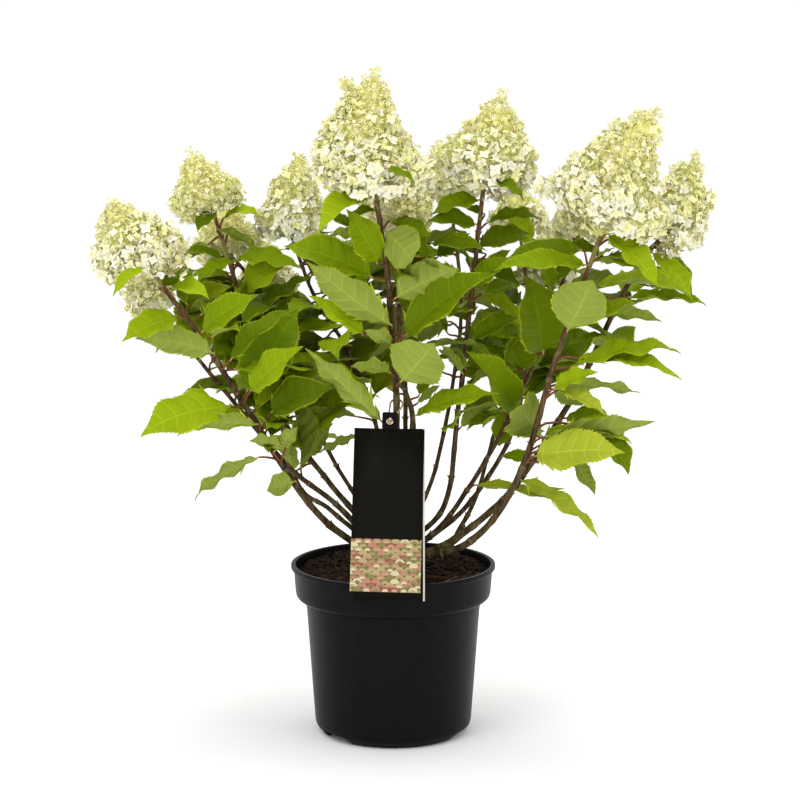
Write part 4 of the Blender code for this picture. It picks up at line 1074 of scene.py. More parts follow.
def leaf_blade(length, width, arch, fold, dice):
    """Vertices of a blade that runs from the origin along +Y with its upper side to +Z."""
    row, bump = ROWS.T
    tooth_rows = LEAF_TEETH[:, 0]
    tooth_row = row[tooth_rows] * 0.22 + row[tooth_rows + 1] * 0.78
    phase = dice.uniform(0, 2 * math.pi, 3)
    wave = dice.uniform(0.020, 0.050) * length
    cycles = dice.uniform(1.6, 3.2)
    lean = dice.uniform(-0.14, 0.14)
    curl = dice.uniform(-0.25, 0.5) * fold

    def shape(r, v, b, drop):
        """Place along, across and above the blade: cupped, wavy, and raised between veins."""
        spread = np.abs(v)
        ramp = np.clip(r / 0.22, 0, 1)
        t = r + (0.13 * spread + 0.10 * spread ** 2) * ramp * (1 - r)
        half = width / 2 * half_width(t) * (
            1 + 0.05 * np.sin(2 * math.pi * 2.3 * t + phase[np.where(v > 0, 1, 2)]))
        x = v * half
        z = fold * (np.sqrt(x * x + 4.0) - 2.0)
        z = z - curl * x * x / max(width, 1.0) * 1.6
        z = z + wave * np.clip(1.5 * half_width(t), 0, 1) * spread ** 2 * np.sin(
            2 * math.pi * (cycles * t) + phase[0] + np.where(v > 0, phase[1], phase[2]))
        arc = np.clip(spread * 1.25, 0, 1) * np.clip((1.02 - spread) * 4, 0, 1)
        z = z + 0.044 * length * b * arc * np.clip(1.2 - t, 0, 1)
        z = z - 0.007 * length * np.exp(-(x / (0.02 * length + 0.4)) ** 2) * (1 - t)
        z = z - drop
        x = x + lean * length * (t * t - t * 0.8)
        return t, x, z

    grid_r, grid_v = np.meshgrid(row, COLUMNS, indexing="ij")
    grid_b = np.meshgrid(bump, COLUMNS, indexing="ij")[0]
    top = shape(grid_r, grid_v, grid_b, 0.0)
    ridge = 0.35 * (1 - grid_b) + 0.9 * (np.abs(grid_v) < 0.05) * (1 - grid_r)
    inner = (slice(None), slice(1, -1))
    low = shape(grid_r[inner], grid_v[inner], grid_b[inner], (LEAF_THICKNESS + ridge)[inner])
    half = width / 2 * half_width(tooth_row) + 0.5
    size = ((0.7 + 0.019 * length) * dice.uniform(0.6, 1.3, len(tooth_row))
            * np.clip(2.2 * half_width(tooth_row), 0.15, 1))
    tooth = shape(tooth_row, LEAF_TEETH[:, 1] * (1 + size / half), np.zeros(len(tooth_row)), 0.0)
    t, x, z = (np.concatenate([np.ravel(part) for part in parts])
               for parts in zip(top, low, tooth))

    steps = np.linspace(0, 1, ARCH_STEPS + 1)
    tip_curl = math.radians(dice.uniform(-12, 42))
    angle = math.radians(arch) * (0.5 - steps) - tip_curl * np.clip((steps - 0.7) / 0.3, 0, 1) ** 2
    between = angle[1:] * 0.5 + angle[:-1] * 0.5
    run, rise = (np.concatenate([[0], np.cumsum(wave_of(between))]) / ARCH_STEPS
                 for wave_of in (np.cos, np.sin))
    tilt = math.atan2(rise[-1], run[-1])
    reach = math.hypot(rise[-1], run[-1])
    run, rise = ((run * math.cos(tilt) + rise * math.sin(tilt)) / reach,
                 (rise * math.cos(tilt) - run * math.sin(tilt)) / reach)
    angle = angle - tilt
    here = np.clip(t, 0, 1)
    local = np.interp(here, steps, angle)
    twist = math.radians(dice.uniform(-16, 16)) * here
    x, z = x * np.cos(twist) - z * np.sin(twist), x * np.sin(twist) + z * np.cos(twist)
    y = np.interp(here, steps, run) * length - z * np.sin(local)
    z = np.interp(here, steps, rise) * length + z * np.cos(local)
    verts = np.stack([x, y, z], 1)
    return np.vstack([verts, verts[TOOTH_CORNERS]]), angle[0]


def leaf_looks():
    """The leaf materials, and the index of each by tone and zone."""
    looks, index = [], {}

    def add(key, name, colour, roughness, gloss):
        index[key] = len(looks)
        looks.append(plain(name, colour, roughness, Specular_IOR_Level=gloss))

    def scaled(colour, gain, blue):
        return (min(1.0, colour[0] * gain), min(1.0, colour[1] * gain), colour[2] * gain + blue)

    for tone, colour in UPPER_TONES.items():
        # the rim zone is the leaf's tone mixed towards light green: a painted highlight
        edge = tuple((1 - RIM_HIGHLIGHT_SHARE) * np.array(colour) + RIM_HIGHLIGHT_SHARE * np.array(RIM_HIGHLIGHT_COLOUR))
        for zone, shade in enumerate((colour, scaled(colour, 1.26, 0.004), edge)):
            add((tone, zone), f"leaf_{tone}_{zone}", shade, 0.5, 0.05)
    for tone, colour in UNDER_TONES.items():
        for zone, gain in ((3, 1.0), (4, 1.22)):
            add((tone, zone), f"leaf_under_{tone}_{zone}", scaled(colour, gain, 0.0), 0.7, 0.04)
    for name, colour in PETIOLE_COLOURS.items():
        add(name, name, colour, 0.5, 0.12)
    return looks, index


def add_leaf(bin_, index, base, tip, face_up, stem_point, stem_way, width, arch, fold, tones,
             dice):
    """One leaf with its petiole. face_up is the direction that the upper side looks to."""
    chord = np.asarray(tip) - base
    length = np.linalg.norm(chord)
    ahead = chord / length
    up = unit(face_up - ahead * np.dot(face_up, ahead))
    across = np.cross(ahead, up)
    verts, start_angle = leaf_blade(length, width * length, arch, fold, dice)
    turned = base + verts @ np.stack([across, ahead, up])
    zones = np.array([index[tones[zone > 2], zone] for zone in range(5)])
    bin_.add(turned, [LEAF_QUADS, LEAF_TRIS], [zones[LEAF_QUAD_ZONES], zones[LEAF_TRI_ZONES]])

    blade_way = ahead * math.cos(start_angle) + up * math.sin(start_angle)
    gap = np.linalg.norm(base - stem_point)
    leave = unit(0.55 * stem_way + unit(base - stem_point))
    bend = min(gap * 0.22, 4.0)
    points = (stem_point, stem_point + leave * gap * 0.3,
              base - blade_way * bend - up * 0.5, base + blade_way * 0.04 * length - up * 0.5)
    route = smooth_route(points, PETIOLE_RINGS)
    radii = np.linspace(PETIOLE_RADIUS * 1.15, PETIOLE_RADIUS * 0.6, len(route))
    stalk, quads, tris = tube(route, radii, PETIOLE_SIDES)
    slots = np.where(quads[:, 0] // PETIOLE_SIDES < PETIOLE_RED, index["petiole_red"],
                     index["petiole_green"])
    bin_.add(stalk, [quads, tris], [slots, index["petiole_red"]])


def nearest_on_stem(name, pixel):
    """The share along a stem that the camera sees nearest to a pixel."""
    route = ROUTES[name]
    return np.argmin(np.linalg.norm(to_pixels(route) - pixel, axis=1)) / (len(route) - 1)


class Crown:
    """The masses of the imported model: tells whether a point lies in or near one of them."""

    def __init__(self, frame):
        self.trees = []
        for name, node in frame["nodes"].items():
            if name.startswith(("leaves_", "bloom_")):
                verts = [vert.co / MM for vert in node.data.vertices]
                faces = [tuple(face.vertices) for face in node.data.polygons]
                self.trees.append(BVHTree.FromPolygons(verts, faces))

    def outside(self, point):
        """How far a point lies outside the nearest mass, in millimetres."""
        best = 1e9
        for tree in self.trees:
            near, normal, _, away = tree.find_nearest(Vector(point))
            if (Vector(point) - near).dot(normal) < 0:
                return 0.0
            best = min(best, away)
        return best


class Show:
    """The listed leaves and blooms, which no leaf of the rule may hide."""

    def __init__(self):
        self.ends, self.halves = [], []

    def add(self, start, end, half):
        """Adds a leaf or bloom by its two ends and its half width."""
        self.ends.append((start, end))
        self.halves.append(half * FOCAL_PIXELS / -CAMERA_PLACE[1])

    def hidden_by(self, spots):
        """Whether a point lies before one of them and inside its outline in the front view."""
        seen = to_pixels(spots)[:, None]
        ends = np.array(self.ends)
        start, end = to_pixels(ends[:, 0]), to_pixels(ends[:, 1])
        along = end - start
        share = ((seen - start) * along).sum(2) / np.maximum((along ** 2).sum(1), 1.0)
        share = np.clip(share, 0.0, 1.0)
        away = np.linalg.norm(seen - start - share[..., None] * along, axis=2)
        depth = ends[:, 0, 1] + share * (ends[:, 1, 1] - ends[:, 0, 1])
        covered = (away < 0.75 * np.array(self.halves)) & (spots[:, 1:2] < depth)
        return covered.any(1).sum() > 2


def in_gap(points):
    """Whether the camera sees a point where the background has to show."""
    seen = to_pixels(points)
    return any(((seen[:, 0] > x0) & (seen[:, 0] < x1) & (seen[:, 1] > y0)
                & (seen[:, 1] < y1)).any() for x0, y0, x1, y1 in GAPS)


def leaf_samples(base, tip, across, half):
    """Points over a leaf for tests of where it lies."""
    shares = np.array((0.2, 0.4, 0.6, 0.8, 1.0))
    middle = base + (tip - base) * shares[:, None]
    wings = half * half_width(shares)[:, None] * across
    return np.vstack([middle, middle + wings, middle - wings])


DEEP_STEMS = ("back_left", "back_centre", "back_right", "low_back_right", "behind_left",
              "behind_right")
# the upper tones that the rule picks from: the stems at the back get darker tones as painted shade,
# the front right and far right stems brighter tones as painted light
DEEP_SHADE_TONES, RIGHT_LIT_TONES, OTHER_TONES = "ddemok", "dmmbblyo", "ddmmoeml"
LIT_AND_SHADED_TONES_BY_STEM = {**dict.fromkeys(DEEP_STEMS, DEEP_SHADE_TONES),
                 **dict.fromkeys(("front_right", "far_right"), RIGHT_LIT_TONES)}
RULE_TRIES = 4
RULE_SIZE = (88, 124)
TOP_SHARE = 0.86         # leaves from higher on a stem are smaller
TOP_SIZE = 0.62
RULE_STALK = (10, 20)
RULE_WIDTH = (0.42, 0.52)
RULE_ARCH = (15, 65)
RULE_FOLD = (0.12, 0.52)
RULE_SHRINKS = (1.0, 0.84, 0.68, 0.54)
RULE_REACH = 15.0        # how far a leaf may stand out of the masses
RULE_APART = 8.0         # between the bases of two leaves
# share of a stem where the leaves start, steps between pairs, and least distance between tips
SWEEPS = ((0.34, (24, 38), 24.0), (0.30, (17, 27), 15.0))
STEM_END = 8.0           # no leaves on the last bit of a stem
PETIOLE_DROP = 12.0      # how far under its leaf base the petiole of a listed leaf leaves the stem
HAND_WIDTH = 0.88
HAND_FOLD = (0.20, 0.52)
UNDER_SEEN = 110         # degrees of turn from which the underside is seen
UNDER_FOLD = (0.10, 0.26)
# the stems whose leaves make one piece, and the masses that the piece replaces
LEAF_GROUPS = (
    (("far_left", "low_left", "upper_left"), ("far_left", "low_left", "upper_left")),
    (("back_left", "behind_left", "inner_left"), ("inner_left", "back_left")),
    (("centre", "centre_inner", "inner_right"), ("centre_front", "inner_right", "front_low")),
    (("back_centre", "behind_right", "back_right"), ("centre_back", "back_right")),
    (("upper_right", "front_right"), ("upper_right", "low_right")),
    (("far_right", "low_back_right"), ("far_right",)),
)


def rule_leaf(name, own, crown, show, placed, share, point, way, side, apart):
    """A leaf that grows from a stem into the crown's masses, or None where there is no room."""
    tones = (str(own.choice(list(LIT_AND_SHADED_TONES_BY_STEM.get(name, OTHER_TONES))))
             + str(own.choice(list("pg"))))
    for _ in range(RULE_TRIES):
        size = own.uniform(*RULE_SIZE) * (1.0 if share < TOP_SHARE else TOP_SIZE)
        out = unit(side + way * own.uniform(0.1, 0.7) + 0.25 * own.normal(size=3))
        base = point + out * own.uniform(*RULE_STALK)
        heading = unit(out * (1, 1, 0.6) + (0, 0, 0.25 - own.uniform(0.1, 0.7)))
        width = own.uniform(*RULE_WIDTH)
        upward = unit(np.array((0, 0, 1.0)) + 0.5 * own.normal(size=3))
        across = unit(np.cross(heading, upward))
        arch, fold = own.uniform(*RULE_ARCH), own.uniform(*RULE_FOLD)
        for shrink in RULE_SHRINKS:
            tip = base + heading * size * shrink
            spots = leaf_samples(base, tip, across, width * size * shrink / 2)
            if (not in_gap(spots) and not show.hidden_by(spots)
                    and max(crown.outside(spot) for spot in spots) < RULE_REACH
                    and all(np.linalg.norm(tip - other[1]) > apart
                            and np.linalg.norm(base - other[0]) > RULE_APART for other in placed)):
                return base, tip, upward, point, way, width, arch, fold, tones
    return None


def hand_leaf(row, dice):
    """A leaf of the table, as what add_leaf takes."""
    name, bx, by, tx, ty, base_depth, tip_depth, width, face, arch, tones = row
    share = nearest_on_stem(name, (bx, by))
    depth = stem_frame(name, share)[0][1]
    base = at_pixel(bx, by, depth + base_depth)
    tip = at_pixel(tx, ty, depth + base_depth + tip_depth)
    drop = PETIOLE_DROP / step_lengths(ROUTES[name]).sum()
    point, way = stem_frame(name, max(0.05, share - drop))
    ahead = unit(tip - base)
    toward_camera = np.array((0.0, -math.cos(CAMERA_PITCH), math.sin(CAMERA_PITCH)))
    front = unit(toward_camera - ahead * np.dot(toward_camera, ahead))
    rise = np.cross(ahead, front)
    if rise[2] < 0:
        rise = -rise
    angle = math.radians(face)
    up = math.cos(angle) * front + math.sin(angle) * rise
    fold = dice.uniform(*(UNDER_FOLD if face >= UNDER_SEEN else HAND_FOLD))
    return base, tip, up, point, way, HAND_WIDTH * width, arch, fold, tones


def rule_pairs(name, sweep, crown, show, placed):
    """The leaves that one sweep of the rule finds room for along a stem."""
    first, gaps, apart = SWEEPS[sweep]
    own = np.random.default_rng(sum(map(ord, name)) * 13 + sweep)
    length = step_lengths(ROUTES[name]).sum()
    at = first * length
    turn = own.uniform(0, math.pi)
    plans = []
    while at < length - STEM_END:
        share = at / length
        point, way = stem_frame(name, share)
        turn += math.pi / 2 + own.uniform(-0.25, 0.25)
        side = unit(np.cross(way, (math.cos(turn), math.sin(turn), 0.15)))
        for sign in (1, -1):
            plan = rule_leaf(name, own, crown, show, placed, share, point, way, side * sign,
                             apart)
            if plan:
                plans.append(plan)
                placed.append(plan[:2])
        at += own.uniform(*gaps)
    return plans


def make_leaves(frame):
    """The leaves of the table, then those of the rule, as a piece for each group."""
    crown, show, placed = Crown(frame), Show(), []
    looks, index = leaf_looks()
    plans = {name: [] for name in STEMS}
    for name, (apex, width, *_) in BLOOMS.items():
        show.add(ROUTES[name][-1], np.array(apex, float), 0.9 * width)
    dice = np.random.default_rng(2024)
    for row in LEAVES:
        plan = hand_leaf(row, dice)
        base, tip = plan[:2]
        plans[row[0]].append(plan)
        placed.append((base, tip))
        show.add(base, tip, 0.4 * row[7] * np.linalg.norm(tip - base))
    for sweep in range(len(SWEEPS)):
        for name in STEMS:
            plans[name] += rule_pairs(name, sweep, crown, show, placed)
    for number, (stems, masses) in enumerate(LEAF_GROUPS):
        bin_ = Bin()
        for name in stems:
            for plan in plans[name]:
                add_leaf(bin_, index, *plan, dice)
        nodes = [f"leaves_{part}" for part in masses]
        finish_piece(bin_.make(f"leaf_sprays_{number}", looks, smooth=60), "foliage", *nodes)


# ---- blooms ----------------------------------------------------------------------------------

# the branch and core tones are partly the pale green of the inner stalks and flowers, and partly
# painted light, made brighter to fill the gaps between the flowers
BLOSSOM_COLOURS = {
    "white": (0.92, 0.90, 0.74), "cream": (0.93, 0.90, 0.60), "pale": (0.91, 0.88, 0.46),
    "lime": (0.87, 0.86, 0.36), "green": (0.72, 0.75, 0.20), "tan": (0.83, 0.72, 0.44),
    "branch": (0.87, 0.86, 0.34), "blush": (0.91, 0.84, 0.62), "core": (0.92, 0.90, 0.38),
    "dull_and_shaded": (0.64, 0.59, 0.22), "stalk": (0.50, 0.46, 0.15),
}
CORE_SIDES = 22
CORE_RINGS = 14
# petals: points as (along, side, rise) for a petal one long and one wide, and their faces
FULL_PETAL = (((0.04, 0.0, 0.0), (0.40, -0.46, 0.12), (0.40, 0.0, 0.0), (0.40, 0.46, 0.12),
               (0.76, -0.30, 0.06), (0.76, 0.0, 0.0), (0.76, 0.30, 0.06), (1.06, 0.0, 0.02)),
              ((0, 1, 2), (0, 2, 3), (1, 4, 2), (4, 5, 2), (2, 5, 3), (5, 6, 3), (4, 7, 5),
               (5, 7, 6)))
SMALL_PETAL = (((0.04, 0.0, 0.0), (0.6, -0.42, 0.12), (1.0, 0.0, 0.0), (0.6, 0.42, 0.12)),
               ((0, 1, 2), (0, 2, 3)))
# petals of a flower, their length and breadth, and how cupped each of its kinds is
FULL_FLOWER = (4, 7.6, 0.94, (0.10, 0.25, 0.40, 0.0, 0.55, 0.18, 0.32))
SMALL_FLOWER = (5, 3.0, 0.85, (0.1, 0.5, 0.9))
STALK_RADIUS = 0.32
LOBE_AREA = 24.0
OPEN_AREA = 46.0         # of an open spray
CLUMP_SPREAD = 3.4
CLUMP_COUNTS = (5, 8)
# the open sprays under the blooms are mostly a darker cream-green: partly the duller colour of
# their flowers and buds, partly painted shade under the blooms
OPEN_FLOWERS = {"dull_and_shaded": 0.40, "cream": 0.25, "tan": 0.15, "pale": 0.20}
OPEN_BUDS = {"dull_and_shaded": 0.45, "green": 0.15, "tan": 0.20, "pale": 0.20}
BLOOM_GROUPS = (("far_left", "low_left", "upper_left", "back_left"),
                ("centre", "centre_inner", "inner_left", "behind_left"),
                ("inner_right", "upper_right", "back_right", "low_back_right", "back_centre"),
                ("front_right", "far_right", "behind_right"))


def petals(dice, count, length, broad, cup, petal):
    """A flower of some sepals round its middle, facing +Z, as (verts, triangles)."""
    shape, faces = petal
    verts, tris = [], []
    start = dice.uniform(0, math.pi)
    for number in range(count):
        reach = length * dice.uniform(0.85, 1.12)
        lift = cup + dice.uniform(-0.15, 0.15)
        wide = broad * reach * dice.uniform(0.9, 1.1)
        angle = start + 2 * math.pi * number / count + dice.uniform(-0.16, 0.16)
        for along, side, rise in shape:
            x, y = along * reach, side * wide
            z = lift * reach * along ** 1.6 * 0.75 + rise * reach
            verts.append((x * math.cos(angle) - y * math.sin(angle),
                          x * math.sin(angle) + y * math.cos(angle), z + 0.2 * (number % 2)))
        tris += [tuple(corner + len(shape) * number for corner in face) for face in faces]
    return np.array(verts), np.array(tris)


def flowers(dice, flower, petal):
    """One flower for each way of cupping."""
    count, length, broad, cups = flower
    return [petals(dice, count, length, broad, cup, petal) for cup in cups]


def along_bloom(share):
    """A share kept between 0 and 1."""
    return min(1.0, max(0.0, share))


def bud_template():
    """A small bud of six faces, one unit in radius and a little long."""
    verts = np.array([(0, 0, -0.9), (1.1, 0, 0.1), (-0.55, 0.95, 0.1), (-0.55, -0.95, 0.1),
                      (0, 0, 1.15)])
    tris = [(0, 2, 1), (0, 3, 2), (0, 1, 3), (4, 1, 2), (4, 2, 3), (4, 3, 1)]
    return verts, np.array(tris)


class Blossom:
    """Grows flowers, buds and stalks into two bins."""

    def __init__(self, slot, dice):
        self.florets, self.branches = Bin(), Bin()
        self.slot, self.dice = slot, dice
        self.large = flowers(dice, FULL_FLOWER, FULL_PETAL)
        self.small = flowers(dice, SMALL_FLOWER, SMALL_PETAL)
        self.bud = bud_template()

    def put(self, templates, places, ups, sizes, slots):
        """Scatters templates, each place with one of them at random."""
        kinds = self.dice.integers(0, len(templates), len(places))
        for kind, template in enumerate(templates):
            for look in np.unique(slots):
                some = (kinds == kind) & (slots == look)
                if some.any():
                    made = scattered(template, places[some], ups[some], sizes[some],
                                     self.dice.uniform(0, 6.28, some.sum()))
                    self.florets.add(*made, int(look))

    def stalks(self, starts, ends, thick, look="branch"):
        """Three-sided stalks between pairs of points, made in one go."""
        ways = unit(ends - starts)
        turns = frames(ways, np.zeros(len(ways)))
        ring = np.array([(math.cos(a), math.sin(a), 0.0) for a in (0.0, 2.094, 4.189)])
        around = np.einsum("nij,vj->nvi", turns, ring) * thick
        verts = np.concatenate([starts[:, None] + around, ends[:, None] + around * 0.7], 1)
        quads = np.array([(0, 1, 4, 3), (1, 2, 5, 4), (2, 0, 3, 5)])
        faces = quads[None] + (6 * np.arange(len(starts)))[:, None, None]
        self.branches.add(verts.reshape(-1, 3), faces.reshape(-1, 4), self.slot[look])

    def pick(self, odds, count):
        """Material slots drawn by the odds of their names."""
        shares = np.array(list(odds.values()), float)
        return self.dice.choice([self.slot[name] for name in odds], count,
                                p=shares / shares.sum())

    def lobe(self, centre, radius, out, height, white, warm, open_spray=False):
        """One small branch of a bloom: flowers and buds round its end."""
        dice = self.dice
        count = max(4, int(3.9 * radius ** 2 / (OPEN_AREA if open_spray else LOBE_AREA)))
        index = np.arange(count) + dice.uniform(0, 0.6)
        flat = 1 - 1.25 * (index + 0.3) / count
        turn = index * GOLDEN + dice.uniform(0, 6.28)
        level = np.sqrt(np.maximum(0.0, 1 - flat ** 2))
        local = np.stack([level * np.cos(turn), level * np.sin(turn), flat], 1)
        ways = local @ frames(out[None], np.zeros(1))[0].T
        ways = unit(ways + 0.15 * dice.normal(size=ways.shape))
        places = centre + ways * radius * dice.uniform(0.86, 1.06, (count, 1))
        self.stalks(np.repeat((centre - out * radius * 0.5)[None], count, 0),
                    places - ways * 0.8, STALK_RADIUS, "stalk" if open_spray else "branch")
        is_large = dice.uniform(0, 1, count) < white
        if is_large.any():
            number = is_large.sum()
            tint = self.pick({"white": 0.55 - 0.4 * height, "cream": 0.34,
                              "pale": 0.12 + 0.3 * height, "blush": 0.04}, number)
            ups = unit(ways[is_large] + 0.38 * dice.normal(size=(number, 3)))
            spots = places[is_large] + ways[is_large] * 0.8
            self.put(self.large, spots, ups,
                     dice.uniform(0.66, 1.06, number) * (1 - 0.25 * height), tint)
            self.put([self.bud], spots + ups * 0.8, ups, np.full(number, 0.8),
                     np.full(number, self.slot["lime"]))
        self.clumps(places[~is_large], ways[~is_large], height, warm, open_spray)

    def clumps(self, places, ups, height, warm, open_spray):
        """Tight clumps of small flowers and buds."""
        dice = self.dice
        if not len(places):
            return
        number = dice.integers(CLUMP_COUNTS[0], CLUMP_COUNTS[1] + 1, len(places))
        if open_spray:
            number = (number + 1) // 2
        owner = np.repeat(np.arange(len(places)), number)
        total = len(owner)
        shift = unit(dice.normal(size=(total, 3))) * dice.uniform(0.2, 1, (total, 1)) * CLUMP_SPREAD
        spots = places[owner] + shift
        facing = unit(ups[owner] + 0.12 * shift + 0.3 * dice.normal(size=(total, 3)))
        is_open = dice.uniform(0, 1, total) < (0.42 * (1 - height) + 0.05)
        rise = min(1.0, height * 1.3)
        bright = self.pick({"cream": 0.42 - 0.25 * rise, "pale": 0.36,
                            "lime": 0.12 + 0.25 * rise, "white": 0.14 - 0.1 * rise}, total)
        buds = self.pick({"cream": 0.24 - 0.18 * rise, "pale": 0.36 - 0.06 * rise,
                          "lime": 0.30 + 0.1 * rise, "green": 0.10 + 0.04 * rise,
                          "tan": 0.02 + warm * rise ** 2 * 0.55}, total)
        if open_spray:
            bright, buds = self.pick(OPEN_FLOWERS, total), self.pick(OPEN_BUDS, total)
        self.put(self.small, spots[is_open], facing[is_open],
                 dice.uniform(0.75, 1.15, is_open.sum()), bright[is_open])
        self.put([self.bud], spots[~is_open], facing[~is_open],
                 dice.uniform(0.85, 1.4, (~is_open).sum()), buds[~is_open])

    def bloom(self, name):
        """A whole panicle: its axis, its heart, and lobes in rings up to the tip."""
        dice = self.dice
        apex, width, skirt, white, warm, sway = BLOOMS[name]
        foot = ROUTES[name][-1]
        axis = np.array(apex, float) - foot
        rise = np.linalg.norm(axis)
        axis /= rise
        turns = frames(axis[None], np.zeros(1))[0]
        span = rise + skirt
        sway = np.array((sway, 0.0, 0.0))
        add_twig(self.branches,
                 (foot, foot + axis * rise * 0.5 + sway * 0.7, foot + axis * (rise - 6)),
                 (STEMS[name][1] * 0.9, 0.5), self.slot["branch"], 6, 6)
        self.core(foot + axis * -skirt, axis, turns, span, width, sway)
        share, turn = 0.03, dice.uniform(0, 6.28)
        while share < 0.985:
            radius = width * float(bloom_radius(share))
            size = min(11.0, 2.5 + 0.16 * width) * (0.55 + 0.45 * radius / width)
            ring = max(1, round(2 * math.pi * max(radius - size * 0.8, 0.0) / (1.55 * size)))
            turn += 2.4
            for step in range(ring):
                here = share + dice.uniform(-0.35, 0.35) * size / span
                angle = turn + 2 * math.pi * (step + dice.uniform(-0.18, 0.18)) / ring
                radial = math.cos(angle) * turns[:, 0] + math.sin(angle) * turns[:, 1]
                reach = max(0.0, radius * dice.uniform(0.90, 1.12) - size)
                height = along_bloom(here)
                middle = foot + axis * (here * span - skirt)
                middle = middle + sway * math.sin(math.pi * height)
                centre = middle + radial * reach
                out = unit(radial * (1.1 - 0.6 * here) + axis * (0.9 * here - 0.05))
                self.lobe(centre, size * dice.uniform(0.82, 1.14), out, height,
                          white * 1.6 * along_bloom(1 - here) ** 1.7
                          * (1 + 0.5 * math.sin(angle * 2 + here * 9)), warm)
                start = middle - axis * min(reach * 0.5, max(0.0, here * span - skirt))
                add_twig(self.branches, (start, (start + centre) / 2 + axis * 1.5, centre),
                         (0.9, 0.5), self.slot["branch"], 4, 2)
            share += 1.36 * size / span
        under = max(5, int(width / 5))
        for step in range(under):
            angle = step * GOLDEN
            radial = math.cos(angle) * turns[:, 0] + math.sin(angle) * turns[:, 1]
            reach = 0.16 + 0.62 * math.sqrt((step + 0.5) / under)
            centre = foot - axis * (skirt - 8.0 + 4.0 * reach) + radial * width * reach
            self.lobe(centre, 0.06 * width + 2.5, unit(radial - axis * 0.5), 0.05,
                      white * 0.9, warm)

    def core(self, start, axis, turns, span, width, sway):
        """The heart of a bloom, a lumpy cone well inside its flowers: pale like the inner flowers
        that it stands for, and brightened as painted light in the gaps between them.
        """
        rings = []
        angles = 2 * math.pi * np.arange(CORE_SIDES) / CORE_SIDES
        for share in np.linspace(0.07, 0.84, CORE_RINGS):
            radius = width * float(bloom_radius(share))
            reach = np.array([0.86 + 0.16 * noise.noise(Vector((math.cos(a) * 3, math.sin(a) * 3,
                                                                share * 9 + width)))
                              for a in angles])
            reach = np.maximum(0.2, (reach - 4.5 / radius) * (1 - 0.16 * share)) * radius
            middle = start + axis * share * span + sway * math.sin(math.pi * share)
            rings.append(middle + reach[:, None] * (np.cos(angles)[:, None] * turns[:, 0]
                                                    + np.sin(angles)[:, None] * turns[:, 1]))
        verts = np.vstack(rings + [start + axis * 0.06 * span, start + axis * 0.87 * span])
        self.branches.add(verts, tube_faces(CORE_RINGS, CORE_SIDES), [self.slot["core"]] * 2)

    def cluster(self, row):
        """A spray of lobes round a hub, on a branch from the top of its stem."""
        name, pixel, depth, radii, white, open_spray = row
        dice = self.dice
        foot = ROUTES[name][-1]
        centre = at_pixel(*pixel, foot[1] + depth)
        size = 6.4 if open_spray else 6.8
        count = max(3, int(2.6 * radii[0] * radii[2] / size ** 2))
        index = np.arange(count)
        flat = 1 - (1.5 if open_spray else 1.9) * (index + 0.5) / count
        turn = index * GOLDEN
        level = np.sqrt(np.maximum(0, 1 - flat ** 2))
        ways = np.stack([level * np.cos(turn), level * np.sin(turn), flat], 1)
        hub = centre - (0, 0, radii[2] * 0.75)
        look = self.slot["stalk" if open_spray else "branch"]
        add_twig(self.branches, (foot - (0, 0, 3), (foot + hub) / 2 - (0, 0, 2), hub),
                 (1.3, 1.0), look, 5, 4)
        height = 0.72 if white < 0.05 and not open_spray else 0.3
        for way in ways:
            spot = centre + way * (np.array(radii) - size * 0.7) * dice.uniform(0.8, 1.05)
            add_twig(self.branches, (hub, (hub + spot) / 2 - (0, 0, 1.0), spot), (0.75, 0.45),
                     look, 4, 3)
            self.lobe(spot, size * dice.uniform(0.8, 1.1), unit(way + (0, -0.2, 0.3)), height,
                      white, 0.5 * white, open_spray)


def bloom_radius(share):
    """The half width of a bloom at a share of its height, 1 at its widest."""
    return np.interp(share, *zip(*BLOOM_PROFILE))


def make_blooms():
    """The blooms of each group as a piece of blossom and a piece of twigs."""
    slot = {name: index for index, name in enumerate(BLOSSOM_COLOURS)}
    looks = [plain("blossom_" + name, colour, 0.7, Specular_IOR_Level=0.10)
             for name, colour in BLOSSOM_COLOURS.items()]
    for number, group in enumerate(BLOOM_GROUPS):
        blossom = Blossom(slot, np.random.default_rng(99 + number))
        for name in group:
            blossom.bloom(name)
        for row in CLUSTERS:
            if row[0] in group:
                blossom.cluster(row)
        finish_piece(blossom.florets.make(f"blossom_{number}", looks, smooth=180), "blossom",
                     *[f"bloom_{name}" for name in group])
        finish_piece(blossom.branches.make(f"bloom_twigs_{number}", looks, smooth=60), "blossom")


# ---- tag -------------------------------------------------------------------------------------

TAG_LEAN = 14.4
TAG_THICKNESS = 0.7
TAG_BOTTOM = (-8.5, -123.4, 187.5)
TAG_WIDTH = 76.0
TAG_LENGTH = 176.5
TAG_TURN = 1.6
NECK_WIDTH = 16.5
NECK_LENGTH = 18.0
EYELET_RADIUS = 3.6
EYELET_PLACE = 0.45
BACK_CARD_SPACE = 1.2
BACK_CARD_LENGTH = 186.5
PICTURE_HEIGHT = 57.0
STRING_RISE = 17.0
STRING_REACH = 2.8
STRING_TURN = 1.6
STRING_LEAD = 1.9
STRING_STEPS = 150
TWINE_RADIUS = 0.75
TWINE_OFFSET = 0.42
TWINE_TWIST = 5.2        # millimetres for one turn of the strands
TWINE_COLOURS = ((0.32, 0.22, 0.11), (0.50, 0.37, 0.21))
BACK_CARD_SHIFT = (5.0, 0.0, 0.0)
BACK_CARD_LIP = 2.0      # width of the pale edge on the back card
HOLE_STEPS = 40
SCALE_RADIUS = 5.4
SCALE_ROWS = 12
SCALE_STEPS = 12
SCALE_LIFT = 0.012       # each row of scales above the last
CARD_COLOURS = ((0.0050, 0.0042, 0.0026), (0.0068, 0.0058, 0.0038))
CARD_CORE = (0.66, 0.63, 0.55)
